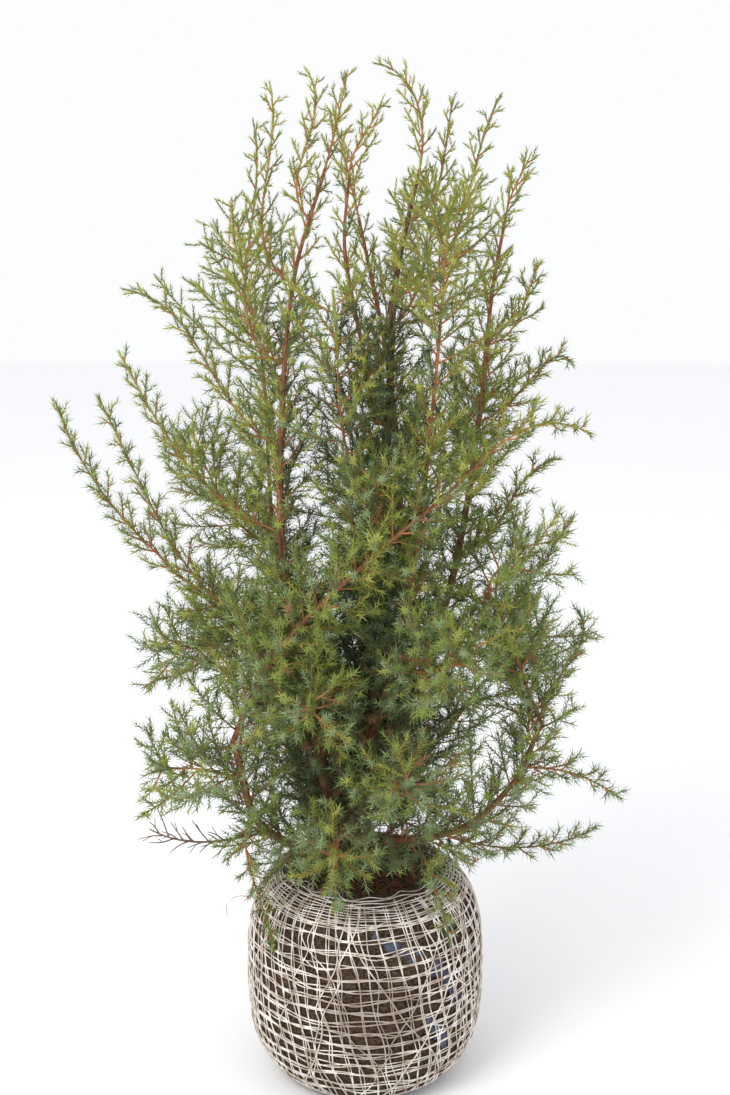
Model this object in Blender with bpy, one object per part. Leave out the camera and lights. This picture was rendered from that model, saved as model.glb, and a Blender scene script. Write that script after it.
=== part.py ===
"""A common juniper about a metre tall, standing on its netted root ball.

One trunk runs up through the crown. Stems rise round it, boughs leave it low down, and
each mass of needles grows from one shoot of its own by the same seeded rule. The masses
share the crown out between them, so that no two touch.

Lengths are in metres and +Z is up. The plant is seen from the -Y side, with +X to the
right. The origin is the centre of the ball's flat underside.
"""

import math
import random
from dataclasses import dataclass

import bmesh
import bpy
import numpy as np

# The gap between neighbouring solids that touch in the real plant
GAP = 0.0003

# The root ball: a squat barrel of soil with a flat underside and a shallow dish on top
BALL_RADIUS = 0.119
BALL_HEIGHT = 0.217
BALL_FOOT_RADIUS = 0.068
BALL_SHOULDER_POWER = 3.0
BALL_SIDES = 20
BALL_RINGS = 8
BALL_LUMP = 0.0015
SOIL_DEPTH = 0.010
SOIL_RADIUS = 0.058
SOIL_HEIGHT = BALL_HEIGHT - SOIL_DEPTH

# The net: square cells of thread drawn over the ball and gathered round its rim
NET_THREAD = 0.0020
NET_STANDOFF = NET_THREAD / 2 + GAP
NET_LOWEST_RING = 1

# Limbs are many-sided tubes with a ring of corners every so often
TRUNK_SIDES = 10
LIMB_SIDES = 8
TRUNK_STEP = 0.028
LIMB_STEP = 0.026
SMOOTH_STEP = 0.004
COLLAR_LEAN = 0.45
COLLAR_LENGTH = 0.012
ROOT_FLARE = 0.45
ROOT_FLARE_HEIGHT = 0.014
ROOT_FLARE_LOBES = 5

# Shoots are three-sided tubes that swell into whorls of three needles
TWIG_SIDES = 3
TWIG_RADIUS = 0.0013
WHORL_TWIST = math.radians(75)
NEEDLE_LEAN = 0.0085
LEAST_SWELL = 0.0010
SPACE_MARGIN = 0.0006
GOLDEN_ANGLE = math.radians(137.5)
LEAST_WHORLS = 1.2

# The core of a dense mass fills this share of the room round the stem's middle
CORE_PLACE = 0.55
CORE_LEAST_SHARE = 0.62
CORE_MOST_SHARE = 0.95
CORE_MOST_REACH = 0.088
CORE_CLEARANCE = 0.0015
CORE_SHRINK = 0.94


@dataclass
class Habit:
    """How a mass grows on its stem: thickness, spacing, length and spread of its shoots."""

    stem_radius: float
    first_whorl: float
    stem_whorl_step: float
    shoot_step: float
    shoot_length: float
    first_shoot_whorl: float
    shoot_whorl_step: float
    shoot_angle: float
    needle_reach: float
    has_core: bool


SLENDER = Habit(
    stem_radius=0.0016,
    first_whorl=0.18,
    stem_whorl_step=0.020,
    shoot_step=0.028,
    shoot_length=0.045,
    first_shoot_whorl=0.0,
    shoot_whorl_step=0.0185,
    shoot_angle=math.radians(36),
    needle_reach=0.0100,
    has_core=False,
)
DENSE = Habit(
    stem_radius=0.0020,
    first_whorl=0.75,
    stem_whorl_step=0.018,
    shoot_step=0.0145,
    shoot_length=0.125,
    first_shoot_whorl=0.50,
    shoot_whorl_step=0.0195,
    shoot_angle=math.radians(60),
    needle_reach=0.0130,
    has_core=True,
)


@dataclass
class Limb:
    """A trunk, stem or bough: what carries it, how far along, its bends and its thickness."""

    name: str
    carrier: str
    share: float
    bends: tuple
    foot_radius: float
    tip_radius: float


@dataclass
class Mass:
    """A mass of needles: its carrier, how far along, its furthest tip and how that tip points."""

    name: str
    carrier: str
    share: float
    tip: tuple
    tip_direction: tuple
    habit: Habit


TRUNK = Limb(
    "trunk", "", 0.0,
    ((-0.016, -0.005, SOIL_HEIGHT + GAP), (-0.010, -0.004, 0.330), (0.007, 0.0, 0.500),
     (0.022, -0.006, 0.675), (0.028, 0.0, 0.800), (0.050, 0.0, 0.905)),
    0.0100, 0.0016,
)

STEMS = (
    Limb("stem_left", "trunk", 0.075,
         ((-0.052, -0.032, 0.400), (-0.077, -0.052, 0.560), (-0.075, -0.052, 0.700),
          (-0.064, -0.038, 0.810), (-0.036, -0.020, 0.905)), 0.0055, 0.0014),
    Limb("stem_right", "trunk", 0.110,
         ((0.048, 0.022, 0.390), (0.088, 0.022, 0.520), (0.110, 0.010, 0.680),
          (0.118, 0.0, 0.790), (0.130, 0.0, 0.865)), 0.0052, 0.0014),
    Limb("stem_back", "trunk", 0.135,
         ((0.012, 0.062, 0.400), (0.036, 0.098, 0.560), (0.022, 0.088, 0.720),
          (-0.006, 0.062, 0.860)), 0.0050, 0.0014),
    Limb("stem_back_left", "trunk", 0.165,
         ((-0.060, 0.052, 0.380), (-0.092, 0.082, 0.520), (-0.100, 0.086, 0.690)), 0.0044, 0.0014),
    Limb("stem_front", "trunk", 0.195,
         ((0.020, -0.052, 0.420), (0.046, -0.084, 0.560), (0.064, -0.072, 0.730)), 0.0042, 0.0014),
    Limb("stem_middle", "trunk", 0.660,
         ((0.000, -0.026, 0.735), (-0.018, -0.032, 0.830), (-0.014, -0.034, 0.900)), 0.0024, 0.0012),
)

BOUGHS = (
    Limb("bough_low_left", "trunk", 0.035,
         ((-0.070, -0.052, 0.262), (-0.106, -0.068, 0.298), (-0.121, -0.086, 0.372)), 0.0048, 0.0032),
    Limb("bough_diagonal", "bough_low_left", 1.0,
         ((-0.101, -0.100, 0.438), (-0.060, -0.119, 0.504), (0.007, -0.124, 0.571),
          (0.071, -0.112, 0.624), (0.104, -0.100, 0.653)), 0.0030, 0.0013),
    Limb("bough_far_left", "trunk", 0.225,
         ((-0.060, -0.008, 0.410), (-0.112, -0.020, 0.465), (-0.164, -0.030, 0.518)), 0.0030, 0.0015),
    Limb("bough_low_right", "trunk", 0.050,
         ((0.040, -0.048, 0.266), (0.098, -0.064, 0.287), (0.144, -0.060, 0.332),
          (0.165, -0.050, 0.375)), 0.0042, 0.0022),
    Limb("bough_right_up", "bough_low_right", 1.0,
         ((0.156, -0.050, 0.420), (0.142, -0.051, 0.460), (0.118, -0.060, 0.515)), 0.0019, 0.0012),
    Limb("bough_back_left", "trunk", 0.060,
         ((-0.066, 0.060, 0.290), (-0.112, 0.106, 0.372)), 0.0040, 0.0020),
    Limb("bough_back_right", "trunk", 0.090,
         ((0.058, 0.074, 0.300), (0.124, 0.106, 0.372)), 0.0040, 0.0020),
)

UP = (0.0, 0.0, 1.0)

MASSES = (
    # The open top, where shoots stand out singly
    Mass("foliage_top", "trunk", 1.0, (0.010, 0.0, 0.997), (-1.0, 0.0, 0.15), SLENDER),
    Mass("foliage_top_left", "stem_left", 1.0, (-0.016, -0.016, 0.988), (0.2, 0.1, 1.0), SLENDER),
    Mass("foliage_left_arch", "stem_left", 0.93, (-0.052, -0.026, 0.990), (-0.6, 0.0, 0.8), SLENDER),
    Mass("foliage_left_spire", "stem_left", 0.84, (-0.084, -0.030, 0.978), (-0.2, 0.0, 1.0), SLENDER),
    Mass("foliage_left_spire_low", "stem_left", 0.73, (-0.098, -0.046, 0.945), (-0.2, 0.0, 1.0), SLENDER),
    Mass("foliage_middle_top", "stem_middle", 1.0, (0.016, -0.040, 0.966), (0.3, 0.0, 1.0), SLENDER),
    Mass("foliage_right_inner", "trunk", 0.93, (0.080, 0.012, 0.965), (0.2, 0.0, 1.0), SLENDER),
    Mass("foliage_right_spire", "trunk", 0.83, (0.120, -0.020, 0.968), (0.5, 0.0, 1.0), SLENDER),
    Mass("foliage_right_top", "stem_right", 1.0, (0.151, 0.0, 0.918), (0.4, 0.0, 1.0), SLENDER),
    Mass("foliage_right_high", "stem_right", 0.80, (0.160, -0.020, 0.822), (0.5, 0.0, 1.0), SLENDER),
    Mass("foliage_right_arch", "stem_right", 0.68, (0.196, 0.004, 0.726), (0.6, 0.0, -1.0), SLENDER),
    Mass("foliage_back_top", "stem_back", 1.0, (-0.030, 0.064, 0.958), (-0.2, 0.0, 1.0), SLENDER),
    # Long shoots that reach out to the sides
    Mass("foliage_left_high", "stem_left", 0.62, (-0.219, -0.034, 0.799), (-1.0, 0.0, 0.15), SLENDER),
    Mass("foliage_left_upper", "stem_left", 0.50, (-0.222, -0.050, 0.742), (-0.5, 0.0, 1.0), SLENDER),
    Mass("foliage_left_middle", "stem_left", 0.34, (-0.240, -0.072, 0.706), (-0.5, 0.0, 1.0), SLENDER),
    Mass("foliage_far_left", "bough_far_left", 1.0, (-0.286, -0.030, 0.694), (-0.3, 0.0, 1.0), SLENDER),
    Mass("foliage_diagonal_tip", "bough_diagonal", 1.0, (0.209, -0.036, 0.667), (1.0, 0.2, -0.5), SLENDER),
    Mass("foliage_right_middle", "stem_right", 0.47, (0.182, -0.020, 0.640), (1.0, 0.0, 0.2), SLENDER),
    Mass("foliage_right_lower", "stem_right", 0.31, (0.200, -0.008, 0.582), (0.6, 0.0, 0.9), SLENDER),
    Mass("foliage_right_out", "bough_low_right", 0.97, (0.206, -0.028, 0.492), (-0.5, 0.0, 0.9), SLENDER),
    Mass("foliage_low_right_tip", "bough_low_right", 0.86, (0.250, -0.040, 0.306), (0.8, 0.0, -0.6),
         SLENDER),
    Mass("foliage_bottom_right", "bough_low_right", 0.42, (0.224, -0.054, 0.280), (1.0, 0.0, 0.6),
         SLENDER),
    # Sprays that hang over the ball's shoulders
    Mass("foliage_hanging_left", "bough_low_left", 0.60, (-0.088, -0.108, 0.180), (0.1, 0.0, -1.0),
         SLENDER),
    Mass("foliage_hanging_right", "bough_low_right", 0.30, (0.080, -0.126, 0.196), (0.2, -0.2, -1.0),
         SLENDER),
    # The thick front of the crown
    Mass("foliage_front_foot", "trunk", 0.075, (-0.030, -0.150, 0.290), (0.0, -1.0, 0.1), DENSE),
    Mass("foliage_front_low", "trunk", 0.120, (0.042, -0.158, 0.372), (0.2, -1.0, 0.5), DENSE),
    Mass("foliage_front_left", "stem_left", 0.26, (-0.048, -0.150, 0.448), (0.0, -0.6, 1.0), DENSE),
    Mass("foliage_front_right", "stem_front", 0.30, (0.094, -0.150, 0.500), (0.3, -0.5, 1.0), DENSE),
    Mass("foliage_front_middle", "trunk", 0.400, (0.006, -0.110, 0.650), (0.0, -0.2, 1.0), DENSE),
    Mass("foliage_front_high", "stem_front", 1.0, (0.074, -0.078, 0.880), (0.1, 0.0, 1.0), DENSE),
    Mass("foliage_front_upper", "trunk", 0.560, (-0.028, -0.090, 0.800), (-0.1, -0.2, 1.0), DENSE),
    # The thick sides and back
    Mass("foliage_low_left", "bough_low_left", 0.85, (-0.200, -0.086, 0.352), (-1.0, 0.0, -0.3), DENSE),
    Mass("foliage_left_side", "bough_far_left", 0.62, (-0.200, -0.010, 0.450), (-1.0, 0.0, 0.0), DENSE),
    Mass("foliage_right_side", "bough_right_up", 1.0, (0.150, -0.070, 0.580), (0.3, 0.0, 1.0), DENSE),
    Mass("foliage_low_back_left", "bough_back_left", 1.0, (-0.176, 0.130, 0.440), (-0.5, 0.2, 1.0), DENSE),
    Mass("foliage_low_back_right", "bough_back_right", 1.0, (0.188, 0.110, 0.440), (0.5, 0.2, 1.0),
         DENSE),
    Mass("foliage_back_foot", "trunk", 0.100, (0.004, 0.168, 0.330), (0.0, 1.0, 0.4), DENSE),
    Mass("foliage_back_left", "stem_back_left", 0.60, (-0.180, 0.134, 0.640), (-0.4, 0.2, 1.0), DENSE),
    Mass("foliage_back_left_top", "stem_back_left", 1.0, (-0.130, 0.080, 0.850), (-0.2, 0.0, 1.0), DENSE),
    Mass("foliage_back_middle", "stem_back", 0.42, (-0.014, 0.182, 0.600), (0.0, 0.3, 1.0), DENSE),
    Mass("foliage_back_right", "stem_back", 0.56, (0.124, 0.136, 0.690), (0.3, 0.2, 1.0), DENSE),
    Mass("foliage_back_high", "stem_back", 0.80, (0.070, 0.086, 0.880), (0.2, 0.0, 1.0), DENSE),
)

# The dead twig that sticks out low on the left
DEAD_TWIG = Mass("dead_twig", "bough_low_left", 0.50, (-0.209, -0.064, 0.284), (-1.0, 0.0, 0.6), SLENDER)
DEAD_TWIG_RADIUS = 0.0012
DEAD_SIDE_TWIGS = 9
DEAD_SIDE_LENGTH = 0.024
DEAD_FIRST_SHARE = 0.35

SOIL_COLOUR = (0.055, 0.035, 0.022)
NET_COLOUR = (0.62, 0.55, 0.47)
BARK_COLOUR = (0.075, 0.035, 0.022)
SHOOT_BARK_COLOUR = (0.20, 0.075, 0.030)
DEAD_COLOUR = (0.22, 0.11, 0.06)
LOW_NEEDLE_COLOUR = (0.065, 0.125, 0.070)
TOP_NEEDLE_COLOUR = (0.150, 0.210, 0.055)
CROWN_FOOT = 0.25
CROWN_TOP = 1.00


def unit(vector):
    return vector / max(np.linalg.norm(vector), 1e-12)


def smooth_curve(points, step=SMOOTH_STEP):
    """Evenly spaced points along a smooth curve through the given ones."""
    points = np.asarray(points, float)
    padded = np.vstack([2 * points[0] - points[1], points, 2 * points[-1] - points[-2]])
    curve = []
    for i in range(1, len(padded) - 2):
        before, start, end, after = padded[i - 1:i + 3]
        for t in np.linspace(0, 1, 24, endpoint=False):
            curve.append(0.5 * (2 * start + (end - before) * t
                                + (2 * before - 5 * start + 4 * end - after) * t * t
                                + (3 * start - before - 3 * end + after) * t ** 3))
    curve.append(padded[-2])
    return evenly(np.array(curve), step)


def arc_curve(start, start_direction, end, end_direction, step=SMOOTH_STEP):
    """Evenly spaced points along one arc that leaves and arrives in the given directions."""
    pull = np.linalg.norm(end - start) * 0.38
    first = start + start_direction * pull
    second = end - unit(np.asarray(end_direction, float)) * pull
    t = np.linspace(0, 1, 60)[:, None]
    curve = ((1 - t) ** 3 * start + 3 * (1 - t) ** 2 * t * first
             + 3 * (1 - t) * t ** 2 * second + t ** 3 * end)
    return evenly(curve, step)


def evenly(curve, step):
    """The same line with its points a step apart."""
    lengths = np.concatenate([[0], np.cumsum(np.linalg.norm(np.diff(curve, axis=0), axis=1))])
    count = max(2, round(lengths[-1] / step) + 1)
    wanted = np.linspace(0, lengths[-1], count)
    return np.column_stack([np.interp(wanted, lengths, curve[:, k]) for k in range(3)])


def at_share(path, share):
    """The point and the direction of a path at a share of its length."""
    place = share * (len(path) - 1)
    i = min(int(place), len(path) - 2)
    return path[i] + (place - i) * (path[i + 1] - path[i]), unit(path[i + 1] - path[i])


def frames(path):
    """Two directions across the path at each of its points, turned as little as possible."""
    tangents = np.gradient(path, axis=0)
    tangents /= np.linalg.norm(tangents, axis=1)[:, None]
    across = unit(np.cross(tangents[0], (0.31, 0.95, 0.07)))
    found = []
    for tangent in tangents:
        across = unit(across - tangent * (across @ tangent))
        found.append((across, np.cross(tangent, across)))
    return found


def foot_on(carrier, share, target, foot_radius):
    """Where a limb leaves its carrier for a target, and in which direction, a gap clear of it."""
    path, radii = grown[carrier]
    if share >= 1.0:
        direction = unit(path[-1] - path[-2])
        return path[-1] + direction * GAP, direction
    place, along = at_share(path, share)
    radius = radii[min(int(share * (len(radii) - 1)), len(radii) - 1)]
    outward = target - place
    outward = unit(outward - along * (outward @ along))
    direction = unit(outward + COLLAR_LEAN * along)
    cosine = direction @ along
    sine = math.sqrt(1 - cosine ** 2)
    return place + direction * ((radius + GAP + foot_radius * cosine) / sine), direction


def tube_mesh(path, radii, sides, step, widen=None):
    """Corners and faces of a closed tube with a ring every step and a flat cap on each end."""
    across_frames = frames(path)
    count = max(2, round(SMOOTH_STEP * (len(path) - 1) / step) + 1)
    corners = []
    for i in np.linspace(0, len(path) - 1, count).round().astype(int):
        across, beside = across_frames[i]
        for k in range(sides):
            angle = 2 * math.pi * k / sides
            radius = radii[i] * (widen(i, angle) if widen else 1.0)
            corners.append(path[i] + radius * (math.cos(angle) * across + math.sin(angle) * beside))
    faces = [tuple(reversed(range(sides)))]
    faces.extend(band_faces(count, sides))
    faces.append(tuple(range((count - 1) * sides, count * sides)))
    return corners, faces


def band_faces(rings, sides):
    """The four-sided faces between rings of corners that follow each other."""
    faces = []
    for i in range(rings - 1):
        for k in range(sides):
            low, high = i * sides, (i + 1) * sides
            following = (k + 1) % sides
            faces.append((low + k, low + following, high + following, high + k))
    return faces


def needle_tube_mesh(path, swells):
    """A three-sided twig that swells into whorls: swells holds (distance, twig, reach) in order."""
    lengths = np.concatenate([[0], np.cumsum(np.linalg.norm(np.diff(path, axis=0), axis=1))])
    across_frames = frames(path)
    rings = []
    for distance, twig, reach in swells:
        rings.append((distance, twig))
        if reach > twig:
            rings.append((distance + NEEDLE_LEAN, reach))
    corners = []
    for n, (distance, radius) in enumerate(rings):
        i = int(np.clip(np.searchsorted(lengths, distance) - 1, 0, len(path) - 2))
        part = (distance - lengths[i]) / (lengths[i + 1] - lengths[i])
        place = path[i] + part * (path[i + 1] - path[i])
        across, beside = across_frames[i]
        for k in range(TWIG_SIDES):
            angle = n * WHORL_TWIST + k * 2 * math.pi / TWIG_SIDES
            corners.append(place + radius * (math.cos(angle) * across + math.sin(angle) * beside))
    faces = [(2, 1, 0)]
    for n in range(len(rings) - 1):
        low, high = n * TWIG_SIDES, (n + 1) * TWIG_SIDES
        for k in range(TWIG_SIDES):
            following = (k + 1) % TWIG_SIDES
            faces.append((low + k, low + following, high + k))
            faces.append((low + following, high + following, high + k))
    tip = len(corners)
    corners.append(path[-1])
    last = tip - TWIG_SIDES
    for k in range(TWIG_SIDES):
        faces.append((last + k, last + (k + 1) % TWIG_SIDES, tip))
    return corners, faces


def distances_to(points, starts, ends):
    """The distance of each point to each straight piece, as a table."""
    run = ends - starts
    offset = points[:, None, :] - starts[None]
    share = np.einsum("pij,ij->pi", offset, run) / np.maximum(np.einsum("ij,ij->i", run, run), 1e-12)
    nearest = offset - np.clip(share, 0, 1)[..., None] * run[None]
    return np.linalg.norm(nearest, axis=2)


class Spaces:
    """Shares the crown out: each point belongs to the mass whose stem it is nearest to."""

    def __init__(self, limb_paths, mass_paths):
        self.limb_starts, self.limb_ends, self.limb_radii = [], [], []
        for path, radii in limb_paths:
            self.limb_starts.extend(path[:-1])
            self.limb_ends.extend(path[1:])
            self.limb_radii.extend(radii[:-1])
        self.mass_starts, self.mass_ends, self.owners = [], [], []
        for owner, path in enumerate(mass_paths):
            self.mass_starts.extend(path[:-1])
            self.mass_ends.extend(path[1:])
            self.owners.extend([owner] * (len(path) - 1))
        self.limb_starts, self.limb_ends = np.array(self.limb_starts), np.array(self.limb_ends)
        self.mass_starts, self.mass_ends = np.array(self.mass_starts), np.array(self.mass_ends)
        self.limb_radii, self.owners = np.array(self.limb_radii), np.array(self.owners)

    def room(self, points, owner):
        """How far a surface may stand off each point and stay in the owner's space."""
        points = np.atleast_2d(points)
        to_masses = distances_to(points, self.mass_starts, self.mass_ends)
        own = to_masses[:, self.owners == owner].min(axis=1)
        others = to_masses[:, self.owners != owner].min(axis=1)
        to_limbs = (distances_to(points, self.limb_starts, self.limb_ends) - self.limb_radii).min(axis=1)
        free = np.minimum((others - own) / 2, to_limbs)
        return np.minimum(free, room_round_ball(points)) - SPACE_MARGIN


def ball_radius(height):
    """The ball's radius at a height, widest half-way up and rounded to its foot and rim."""
    half = BALL_HEIGHT / 2
    level = np.clip(np.abs(np.asarray(height, float) - half) / half, 0, 1)
    return BALL_FOOT_RADIUS + (BALL_RADIUS - BALL_FOOT_RADIUS) * np.sqrt(1 - level ** BALL_SHOULDER_POWER)


def ball_lump(angle, height):
    """How far the soil bulges here."""
    return BALL_LUMP * (math.sin(2 * angle + 0.6) + 0.7 * math.sin(3 * angle + 40 * height)) \
        * math.sin(math.pi * np.clip(height / BALL_HEIGHT, 0, 1))


def room_round_ball(points):
    """How far each point lies outside the netted ball, or above the floor."""
    outside = np.hypot(points[:, 0], points[:, 1]) - ball_radius(points[:, 2])
    outside -= NET_STANDOFF + NET_THREAD + 2 * BALL_LUMP
    above = points[:, 2] - BALL_HEIGHT - NET_THREAD
    return np.maximum(outside, above)


def material(name, colour, roughness):
    made = bpy.data.materials.new(name)
    made.use_nodes = True
    shader = made.node_tree.nodes["Principled BSDF"]
    shader.inputs["Base Color"].default_value = (*colour, 1.0)
    shader.inputs["Roughness"].default_value = roughness
    shader.inputs["Metallic"].default_value = 0.0
    return made


def mesh_object(name, corners, faces, finish=None):
    mesh = bpy.data.meshes.new(name)
    mesh.from_pydata([tuple(map(float, corner)) for corner in corners], [], faces)
    mesh.update()
    made = bpy.data.objects.new(name, mesh)
    bpy.context.scene.collection.objects.link(made)
    if finish:
        mesh.materials.append(finish)
    return made


def ring_heights():
    """Heights of the ball's rings, closer together towards its foot and rim."""
    angles = np.linspace(-math.pi / 2, math.pi / 2, BALL_RINGS)
    return [BALL_HEIGHT / 2 * (1 + math.sin(angle)) for angle in angles]


def ball_ring(height, standoff):
    """One ring of the ball's surface, or of the net at its standoff."""
    ring = []
    for k in range(BALL_SIDES):
        angle = 2 * math.pi * k / BALL_SIDES
        radius = float(ball_radius(height)) + ball_lump(angle, height) + standoff
        ring.append((radius * math.cos(angle), radius * math.sin(angle), height))
    return ring


def make_root_ball():
    """The ball of soil, with a flat underside and a shallow dish of bare soil on top."""
    corners = []
    for height in ring_heights():
        corners.extend(ball_ring(height, 0.0))
    for k in range(BALL_SIDES):
        angle = 2 * math.pi * k / BALL_SIDES
        corners.append((SOIL_RADIUS * math.cos(angle), SOIL_RADIUS * math.sin(angle), SOIL_HEIGHT))
    faces = [tuple(reversed(range(BALL_SIDES)))]
    faces.extend(band_faces(BALL_RINGS + 1, BALL_SIDES))
    faces.append(tuple(range(BALL_RINGS * BALL_SIDES, (BALL_RINGS + 1) * BALL_SIDES)))
    ball = mesh_object("root_ball", corners, faces, material("soil", SOIL_COLOUR, 0.95))
    ball.data.shade_smooth()
    ball.data.set_sharp_from_angle(angle=math.radians(40))


def make_net():
    """The net: a wire frame along the ball's own lines, a gap clear of the soil."""
    heights = ring_heights()[NET_LOWEST_RING:-1]
    corners = []
    for height in heights:
        corners.extend(ball_ring(height, NET_STANDOFF))
    net = mesh_object("net", corners, band_faces(len(heights), BALL_SIDES),
                      material("net_thread", NET_COLOUR, 0.85))
    wire = net.modifiers.new("threads", "WIREFRAME")
    wire.thickness = NET_THREAD
    wire.offset = 0.0
    wire.use_boundary = True
    wire.use_replace = True
    wire.use_even_offset = True


def limb_radii(limb, path):
    share = np.linspace(0, 1, len(path))
    return limb.foot_radius + (limb.tip_radius - limb.foot_radius) * share ** 0.8


def grow_limb(limb):
    """The limb's middle line and its radius along it, kept for what it carries."""
    points = [np.array(bend, float) for bend in limb.bends]
    if limb.carrier:
        start, direction = foot_on(limb.carrier, limb.share, points[0], limb.foot_radius)
        points = [start, start + direction * COLLAR_LENGTH / 2, start + direction * COLLAR_LENGTH, *points]
    path = smooth_curve(points)
    grown[limb.name] = path, limb_radii(limb, path)


def root_flare(limb):
    """How much wider the trunk is near the soil, in low lobes that run into its roots."""
    path = grown[limb.name][0]
    heights = path[:, 2] - path[0][2]

    def widen(i, angle):
        flare = ROOT_FLARE * math.exp(-heights[i] / ROOT_FLARE_HEIGHT)
        return 1 + flare * (0.8 + 0.35 * math.cos(ROOT_FLARE_LOBES * angle))

    return widen


def make_limb(limb, finish):
    path, radii = grown[limb.name]
    if limb.carrier:
        corners, faces = tube_mesh(path, radii, LIMB_SIDES, LIMB_STEP)
    else:
        corners, faces = tube_mesh(path, radii, TRUNK_SIDES, TRUNK_STEP, root_flare(limb))
        for corner in corners[:TRUNK_SIDES]:
            corner[2] = SOIL_HEIGHT + GAP
    made = mesh_object(limb.name, corners, faces, finish)
    made.data.shade_smooth()
    made.data.set_sharp_from_angle(angle=math.radians(50))


def grow_stem(mass):
    """The middle line of a mass's own stem, from its carrier to its furthest tip."""
    tip = np.array(mass.tip)
    start, direction = foot_on(mass.carrier, mass.share, tip, mass.habit.stem_radius)
    return arc_curve(start, direction, tip, mass.tip_direction)


def whorls_along(path, owner, habit, first_share, step, twig):
    """The swells of one shoot, each no wider than the room there."""
    length = SMOOTH_STEP * (len(path) - 1)
    swells = [(0.0, twig, 0.0)]
    distance = max(first_share * length, step * 0.6)
    while distance + NEEDLE_LEAN * 1.3 < length:
        taper = 1 - 0.45 * distance / length
        place = at_share(path, (distance + NEEDLE_LEAN) / length)[0]
        reach = min(habit.needle_reach * (0.75 + 0.25 * taper), spaces.room(place, owner)[0])
        thin = twig * (1 - 0.5 * distance / length)
        swells.append((distance, thin, reach if reach > twig + LEAST_SWELL else 0.0))
        distance += step
    return swells


def shoot_paths(path, owner, habit, draw):
    """Side shoots round a stem, each a golden angle on from the last, cut where they have no room."""
    length = SMOOTH_STEP * (len(path) - 1)
    across_frames = frames(path)
    turn = draw.uniform(0, 2 * math.pi)
    distance = habit.shoot_step * 0.8
    found = []
    while distance < length * 0.93:
        share = distance / length
        place, along = at_share(path, share)
        across, beside = across_frames[int(share * (len(path) - 1))]
        outward = math.cos(turn) * across + math.sin(turn) * beside
        direction = unit(math.sin(habit.shoot_angle) * outward + math.cos(habit.shoot_angle) * along)
        reach = habit.shoot_length * (1 - 0.55 * share) * draw.uniform(0.75, 1.15)
        end = place + direction * reach + np.array(UP) * reach * draw.uniform(0.05, 0.25)
        shoot = arc_curve(place, direction, end, unit(end - place) + 0.5 * np.array(UP))
        rooms = spaces.room(shoot, owner)
        blocked = np.flatnonzero(rooms[1:] < TWIG_RADIUS + LEAST_SWELL)
        if len(blocked):
            shoot = shoot[:blocked[0] + 1]
        if SMOOTH_STEP * (len(shoot) - 1) > LEAST_WHORLS * habit.shoot_whorl_step:
            found.append(shoot)
        turn += GOLDEN_ANGLE
        distance += habit.shoot_step * draw.uniform(0.85, 1.15)
    return found


def core_mesh(path, owner, draw):
    """A jagged core round the stem's middle that fills much of its space and touches none of its edges."""
    centre = at_share(path, CORE_PLACE)[0]
    ball = bmesh.new()
    bmesh.ops.create_icosphere(ball, subdivisions=2, radius=1.0)
    steps = np.arange(SMOOTH_STEP, CORE_MOST_REACH, SMOOTH_STEP)
    corners = []
    for corner in ball.verts:
        rooms = spaces.room(centre + steps[:, None] * np.array(corner.co), owner)
        free = steps[np.argmax(rooms < CORE_CLEARANCE)] if rooms.min() < CORE_CLEARANCE else CORE_MOST_REACH
        corners.append(centre + np.array(corner.co) * free * draw.uniform(CORE_LEAST_SHARE, CORE_MOST_SHARE))
    corners = np.array(corners)
    faces = np.array([[corner.index for corner in face.verts] for face in ball.faces])
    ball.free()
    while True:
        rooms = spaces.room(points_on(corners, faces), owner).reshape(-1, len(faces)).min(axis=0)
        tight = np.unique(faces[rooms < CORE_CLEARANCE])
        if not len(tight):
            return corners, [tuple(map(int, face)) for face in faces]
        corners[tight] = centre + CORE_SHRINK * (corners[tight] - centre)


def points_on(corners, faces):
    """A fine scatter of points over three-sided faces."""
    a, b, c = (np.array([corners[face[k]] for face in faces]) for k in range(3))
    shares = [(u / 6, v / 6) for u in range(7) for v in range(7 - u)]
    return np.vstack([a + u * (b - a) + v * (c - a) for u, v in shares])


def needle_finish(name, height):
    share = min(max((height - CROWN_FOOT) / (CROWN_TOP - CROWN_FOOT), 0), 1)
    colour = [low + share * (top - low) for low, top in zip(LOW_NEEDLE_COLOUR, TOP_NEEDLE_COLOUR)]
    return material(name, colour, 0.6)


def join(name, pieces, finish):
    """One Boolean union of a stem with everything that grows out of it."""
    stem = mesh_object(name, *pieces[0])
    others = bpy.data.collections.new(name + "_pieces")
    bpy.context.scene.collection.children.link(others)
    for n, (corners, faces) in enumerate(pieces[1:]):
        piece = mesh_object(f"{name}_piece_{n}", corners, faces)
        bpy.context.scene.collection.objects.unlink(piece)
        others.objects.link(piece)
    union = stem.modifiers.new("grown_together", "BOOLEAN")
    union.operation = "UNION"
    union.operand_type = "COLLECTION"
    union.collection = others
    union.solver = "MANIFOLD"
    bpy.context.view_layer.update()
    joined = bpy.data.meshes.new_from_object(stem.evaluated_get(bpy.context.evaluated_depsgraph_get()))
    stem.modifiers.remove(union)
    stem.data = joined
    joined.name = name
    for piece in list(others.objects):
        bpy.data.objects.remove(piece)
    bpy.data.collections.remove(others)
    drop_scraps(joined)
    joined.materials.clear()
    joined.materials.append(finish)
    return stem


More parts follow.
